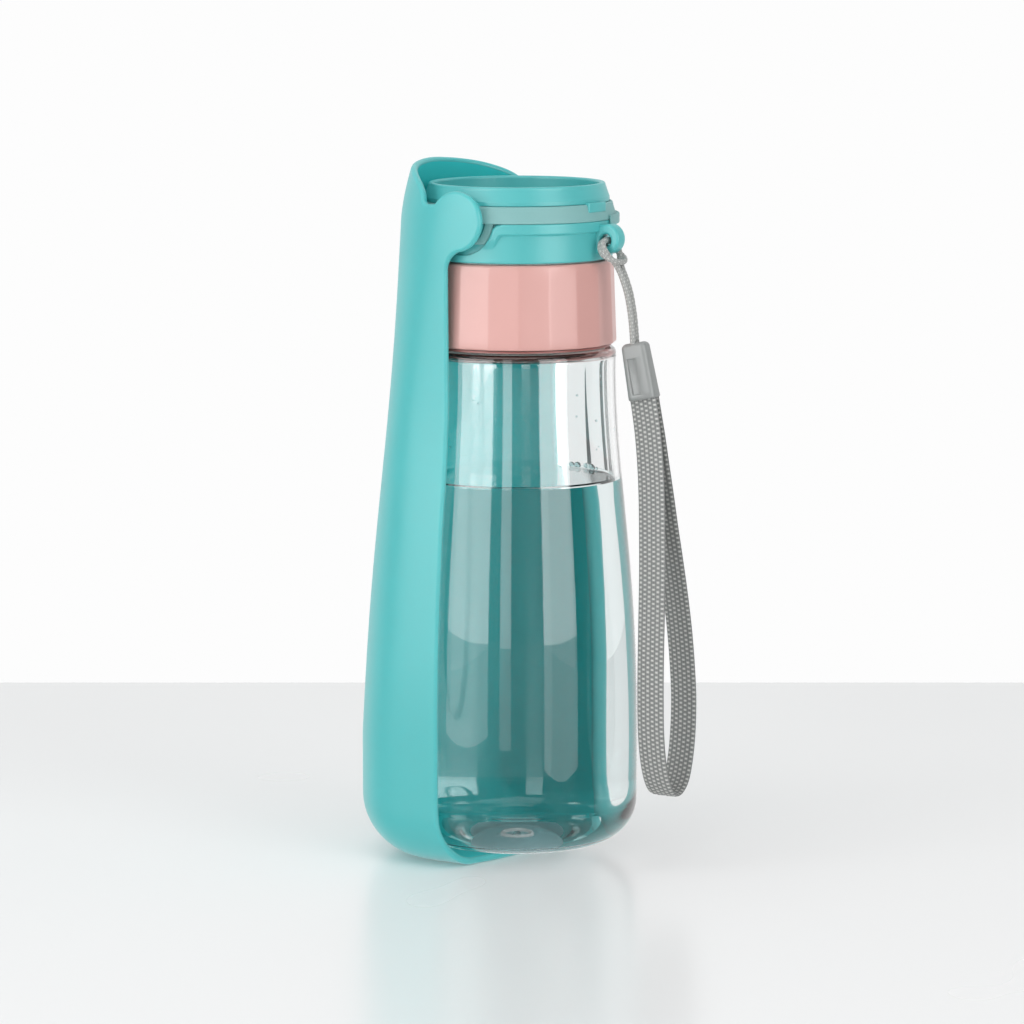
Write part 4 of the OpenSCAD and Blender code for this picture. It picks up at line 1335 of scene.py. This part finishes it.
    def shell(self, edge, spacing):
        """Both faces of the wall over a triangle net inside the edge, joined by a half-round lip."""
        flat, triangles, rim = self.net(edge, spacing)
        place = self.surface(flat)
        n, _, _ = self.normal(flat)
        self.count = count = len(place)
        points = [place, place - n * self.thickness(place)[:, None]]
        normals = [n, -n]
        faces = []
        for t in triangles:
            a, b, c = place[list(t)]
            if np.dot(np.cross(b - a, c - a), n[t[0]]) < 0:
                t = t[::-1]
            faces += [tuple(t), tuple(count + k for k in t[::-1])]
        place, n, out, _, _ = self.outward(flat[rim])
        half = self.thickness(place)[:, None] / 2
        steps, start = 8, 2 * count
        rows = [rim]
        for j in range(1, steps):
            a = math.pi / 2 - math.pi * j / steps
            up, forth = math.sin(a), math.cos(a)
            points.append(place - n * half + n * half * up + out * (self.wall / 2) * forth)
            normals.append(n * up + out * forth)
            rows.append(list(range(start, start + len(rim))))
            start += len(rim)
        rows.append([count + k for k in rim])
        points, normals = np.vstack(points), np.vstack(normals)
        for low_row, high_row in zip(rows, rows[1:]):
            for k in range(len(rim)):
                m = (k + 1) % len(rim)
                quad = (low_row[k], low_row[m], high_row[m], high_row[k])
                a, b, c, d = points[list(quad)]
                agrees = np.dot(np.cross(c - a, d - b), normals[list(quad)].sum(0)) > 0
                faces.append(quad if agrees else quad[::-1])
        return points, faces, normals

    def inside(self, spots, edge):
        """Which spots lie inside the closed edge."""
        x, y = spots[:, 0], spots[:, 1]
        found = np.zeros(len(spots), bool)
        for (x1, y1), (x2, y2) in zip(edge, np.roll(edge, -1, 0)):
            crosses = (y1 > y) != (y2 > y)
            with np.errstate(divide="ignore", invalid="ignore"):
                at = (x2 - x1) * (y - y1) / (y2 - y1) + x1
            found ^= crosses & (x < at)
        return found


class BOTTLE_OT_inner_parts(bpy.types.Operator):
    """Finishes the valve, gaskets and pins, which the CAD model carries"""

    bl_idname = "dog_bottle.inner_parts"
    bl_label = "Inner Parts"

    def execute(self, context):
        # Acetal and polypropylene mouldings, off-white and smooth
        white = moulded_plastic("smooth white moulded acetal", "#e9ebe8", 0.35, grain_mm=0.8, depth=0.02)
        # Frosted polypropylene, pale
        frosted = moulded_plastic("frosted moulded polypropylene", "#dde4e4", 0.45, see_through=0.1)
        # The ring that holds the collar is moulded from the collar's own plastic. Its pink is painted darker,
        # as painted shade under the collar
        pink = moulded_plastic("pink moulded polypropylene darkened as painted shade", "#9c5f58", 0.4)
        # Silicone gaskets, white and dull
        gasket = moulded_plastic("white silicone gasket rubber", "#dfe2e0", 0.6, see_through=0.1)
        # Nitrile rings, near black and dull
        nitrile = moulded_plastic("black nitrile ring rubber", "#33383a", 0.55)
        # Stainless pins and spring, turned bright
        pin = steel("turned stainless pin steel", "#b9bcbe")
        for material, slot, names in (
            (white, "inner_white", ("head_core", "valve_rotor", "drive_keys")),
            (frosted, "slip_plastic", ("hinge_washer_left", "hinge_washer_right")),
            (pink, "collar_pink", ("collar_retainer",)),
            (gasket, "silicone_white", ("neck_gasket", "valve_gasket")),
            (nitrile, "ring_dark", ("rotor_o_rings",)),
            (pin, "pin_steel", ("rotor_pin", "wave_washer", "hinge_pin_left", "hinge_pin_right")),
        ):
            for name in names:
                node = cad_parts[name]
                node.data.materials.clear()
                node.data.materials.append(material)
        return {"FINISHED"}


class BOTTLE_OT_stage(bpy.types.Operator):
    """Sets the pale table, the white surroundings and the soft lights"""

    bl_idname = "dog_bottle.stage"
    bl_label = "Table and Lights"

    PANEL_DISTANCE = 1.15
    CARD_DISTANCE = 0.9

    def execute(self, context):
        turn = Matrix.Rotation(math.radians(VIEW_AZIMUTH), 4, "Z")
        self.table(turn)
        self.world(context)
        # name, angle from the camera's side (negative to the left), half angle, low, high, lighting, mirrored
        panels = (
            ("left panel", -50, 22, -0.16, 0.95, 1.7, 4.0),
            ("right panel", 42.5, 16.5, -0.19, 0.95, 1.9, 4.1),
            ("narrow panel", -11, 5.2, -0.16, 0.95, 0.0, 2.7),
        )
        for name, angle, half, low, high, lighting, mirrored in panels:
            width = 2 * self.PANEL_DISTANCE * math.tan(math.radians(half))
            if lighting:
                self.panel(turn, name, angle, width, low, high, lighting).visible_glossy = False
            # In the mirror the box ends at the table, and goes on below it as its own dimmer image there
            for label, start, end, share in ((" shine", 0.0, high, 1.0), (" in the table", low, 0.0, 0.42)):
                shine = self.panel(turn, name + label, angle, width, start, end, mirrored * share, 0.02)
                shine.visible_diffuse = False
        # name, angle from straight behind the bottle, positive to the right, half angle, top, colour
        cards = (
            ("near black card", 12.3, 1.1, 0.3, "#1a1b1c"),
            ("far black card", 17.6, 2.6, 0.3, "#1a1b1c"),
            ("pointed grey card", 6.3, 0.45, 0.07, "#8c8f90"),
        )
        for card in cards:
            self.card(turn, *card)
        top = self.light("top light", 1.4, 1.4, 1.3)
        top.location = turn @ Vector((-0.2, -0.3, 1.5))
        top.rotation_euler = (Vector((0, 0, 0.1)) - top.location).to_track_quat("-Z", "Y").to_euler()
        context.scene.view_settings.view_transform = "Standard"
        return {"FINISHED"}

    def card(self, turn, name, angle, half, high, colour):
        """A dark card out of the camera's sight, which draws dark lines along the clear wall's edges."""
        reach, low = self.CARD_DISTANCE, -0.03
        width = reach * math.tan(math.radians(half))
        mesh = bpy.data.meshes.new(name)
        corners = [(-width, 0, low), (width, 0, low), (width, 0, high - 0.05)]
        corners += [(0, 0, high), (-width, 0, high - 0.08)]
        mesh.from_pydata(corners, [], [(0, 1, 2, 3, 4)])
        # Card flocked with short dull fibres
        felt, tree = new_material("flocked card", colour)
        dull = (*(0.7 * c for c in linear(colour)[:3]), 1.0)
        shade = blend(tree, noise(tree, 400.0), dull, linear(colour))
        output(tree, add_node(tree, "ShaderNodeBsdfDiffuse", {"Color": shade}))
        mesh.materials.append(felt)
        made = placed(name, mesh)
        aside = Matrix.Rotation(-math.radians(angle), 4, "Z")
        made.matrix_world = turn @ aside @ Matrix.Translation((0, reach, 0))
        for way in ("visible_camera", "visible_diffuse", "visible_glossy", "visible_shadow"):
            setattr(made, way, False)

    def table(self, turn):
        """The pale table, just under the bottle's base."""
        half_width, front, back, thick, gap = 0.55, -1.2, 0.31, 0.02, 0.00005
        size = Matrix.Diagonal((2 * half_width, back - front, thick, 1))
        centre = Matrix.Translation((0, (back + front) / 2, -thick / 2 - gap))
        made = placed("table", cube("table", turn @ centre @ size))
        # Pale laminate, satin, with a gloss that drifts a little
        material, tree = new_material("pale satin laminate table", "#e6e6e6")
        inputs = {"Base Color": linear("#f0f0f0"), "Roughness": mapped(tree, noise(tree, 6.0), (0.22, 0.30))}
        inputs.update({"IOR": 1.45, "Emission Color": linear("#fdfdfd"), "Emission Strength": 0.10})
        output(tree, principled(tree, inputs))
        made.data.materials.append(material)
        made.visible_glossy = False

    def world(self, context):
        """White to the camera, and a room with a dark side to rays that are mirrored or bent."""
        world = bpy.data.worlds.new("white surroundings")
        world.use_nodes = True
        tree = world.node_tree
        tree.nodes.clear()
        camera, *sharp = add_node(
            tree, "ShaderNodeLightPath", take=("Is Camera Ray", "Is Glossy Ray", "Is Transmission Ray")
        )
        # Mirrored and bent rays towards the camera's side find a dark room, the others the backdrop
        angle = math.radians(VIEW_AZIMUTH)
        way = add_node(tree, "ShaderNodeTexCoord", take="Generated")
        facing = {0: way, 1: (-math.sin(angle), math.cos(angle), 0.0)}
        behind = add_node(tree, "ShaderNodeVectorMath", facing, "Value", operation="DOT_PRODUCT")
        room = mapped(tree, behind, (0.08, 1.0), (-0.15, 0.35))
        # Steeply downwards they find the pale table, which itself stays out of the mirror
        down = mapped(tree, add_node(tree, "ShaderNodeSeparateXYZ", {0: way}, "Z"), (0.0, 0.8), (-0.22, -0.5))
        glow = room.of("MAXIMUM", down)
        dull, seen, white = (
            add_node(tree, "ShaderNodeBackground", {"Color": linear(shade), "Strength": strength})
            for shade, strength in (("#f4f7f8", 0.42), ("#fdfdfd", glow), ("#fdfdfd", 1.0))
        )
        mixed = mix(tree, camera, mix(tree, worked(tree, "MAXIMUM", *sharp), dull, seen), white)
        add_node(tree, "ShaderNodeOutputWorld", {"Surface": mixed})
        context.scene.world = world

    def light(self, name, width, height, radiance):
        """A soft box. Its power is worked out from how bright its face should be."""
        data = bpy.data.lights.new(name, "AREA")
        data.shape = "RECTANGLE"
        data.size = width
        data.size_y = height
        data.energy = radiance * math.pi * width * height
        return placed(name, data)

    def panel(self, turn, name, angle, width, low, high, radiance, nearer=0.0):
        """A tall soft box that faces the bottle's axis from the side, out of the camera's sight."""
        made = self.light(name, width, high - low, radiance)
        a = math.radians(angle)
        reach = self.PANEL_DISTANCE - nearer
        made.location = turn @ Vector((reach * math.sin(a), -reach * math.cos(a), (low + high) / 2))
        aim = Vector((0, 0, made.location.z)) - made.location
        made.rotation_euler = aim.to_track_quat("-Z", "Y").to_euler()
        made.visible_camera = False
        return made


GROUPS = {
    "dog_bottle_sizes": BottleSizes,
    "dog_tray": TraySizes,
    "dog_collar": CollarSizes,
    "dog_strap": StrapSizes,
}
OPERATORS = (
    BOTTLE_OT_camera, BOTTLE_OT_strap, BOTTLE_OT_bottle, BOTTLE_OT_head, BOTTLE_OT_collar, BOTTLE_OT_tray,
    BOTTLE_OT_inner_parts, BOTTLE_OT_stage,
)


class BOTTLE_PT_panel(bpy.types.Panel):
    """Lists the pieces and their sizes"""

    bl_idname = "BOTTLE_PT_panel"
    bl_label = "Dog Travel Water Bottle"
    bl_space_type = "VIEW_3D"
    bl_region_type = "UI"
    bl_category = "Bottle"

    def draw(self, context):
        for kind in OPERATORS:
            self.layout.operator(kind.bl_idname)
        for name in GROUPS:
            group = getattr(context.scene, name)
            box = self.layout.box()
            for label in group.__annotations__:
                box.prop(group, label)


def register():
    """Makes the groups, the operators and the panel known to Blender."""
    for kind in (*GROUPS.values(), *OPERATORS, BOTTLE_PT_panel):
        bpy.utils.register_class(kind)
    for name, kind in GROUPS.items():
        setattr(bpy.types.Scene, name, bpy.props.PointerProperty(type=kind))


def unregister():
    """Takes them away again."""
    for name in GROUPS:
        delattr(bpy.types.Scene, name)
    for kind in (BOTTLE_PT_panel, *reversed(OPERATORS), *GROUPS.values()):
        bpy.utils.unregister_class(kind)


def main():
    """Builds everything."""
    register()
    for kind in OPERATORS:
        group, name = kind.bl_idname.split(".")
        getattr(getattr(bpy.ops, group), name)()
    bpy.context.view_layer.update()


if __name__ == "__main__":
    main()
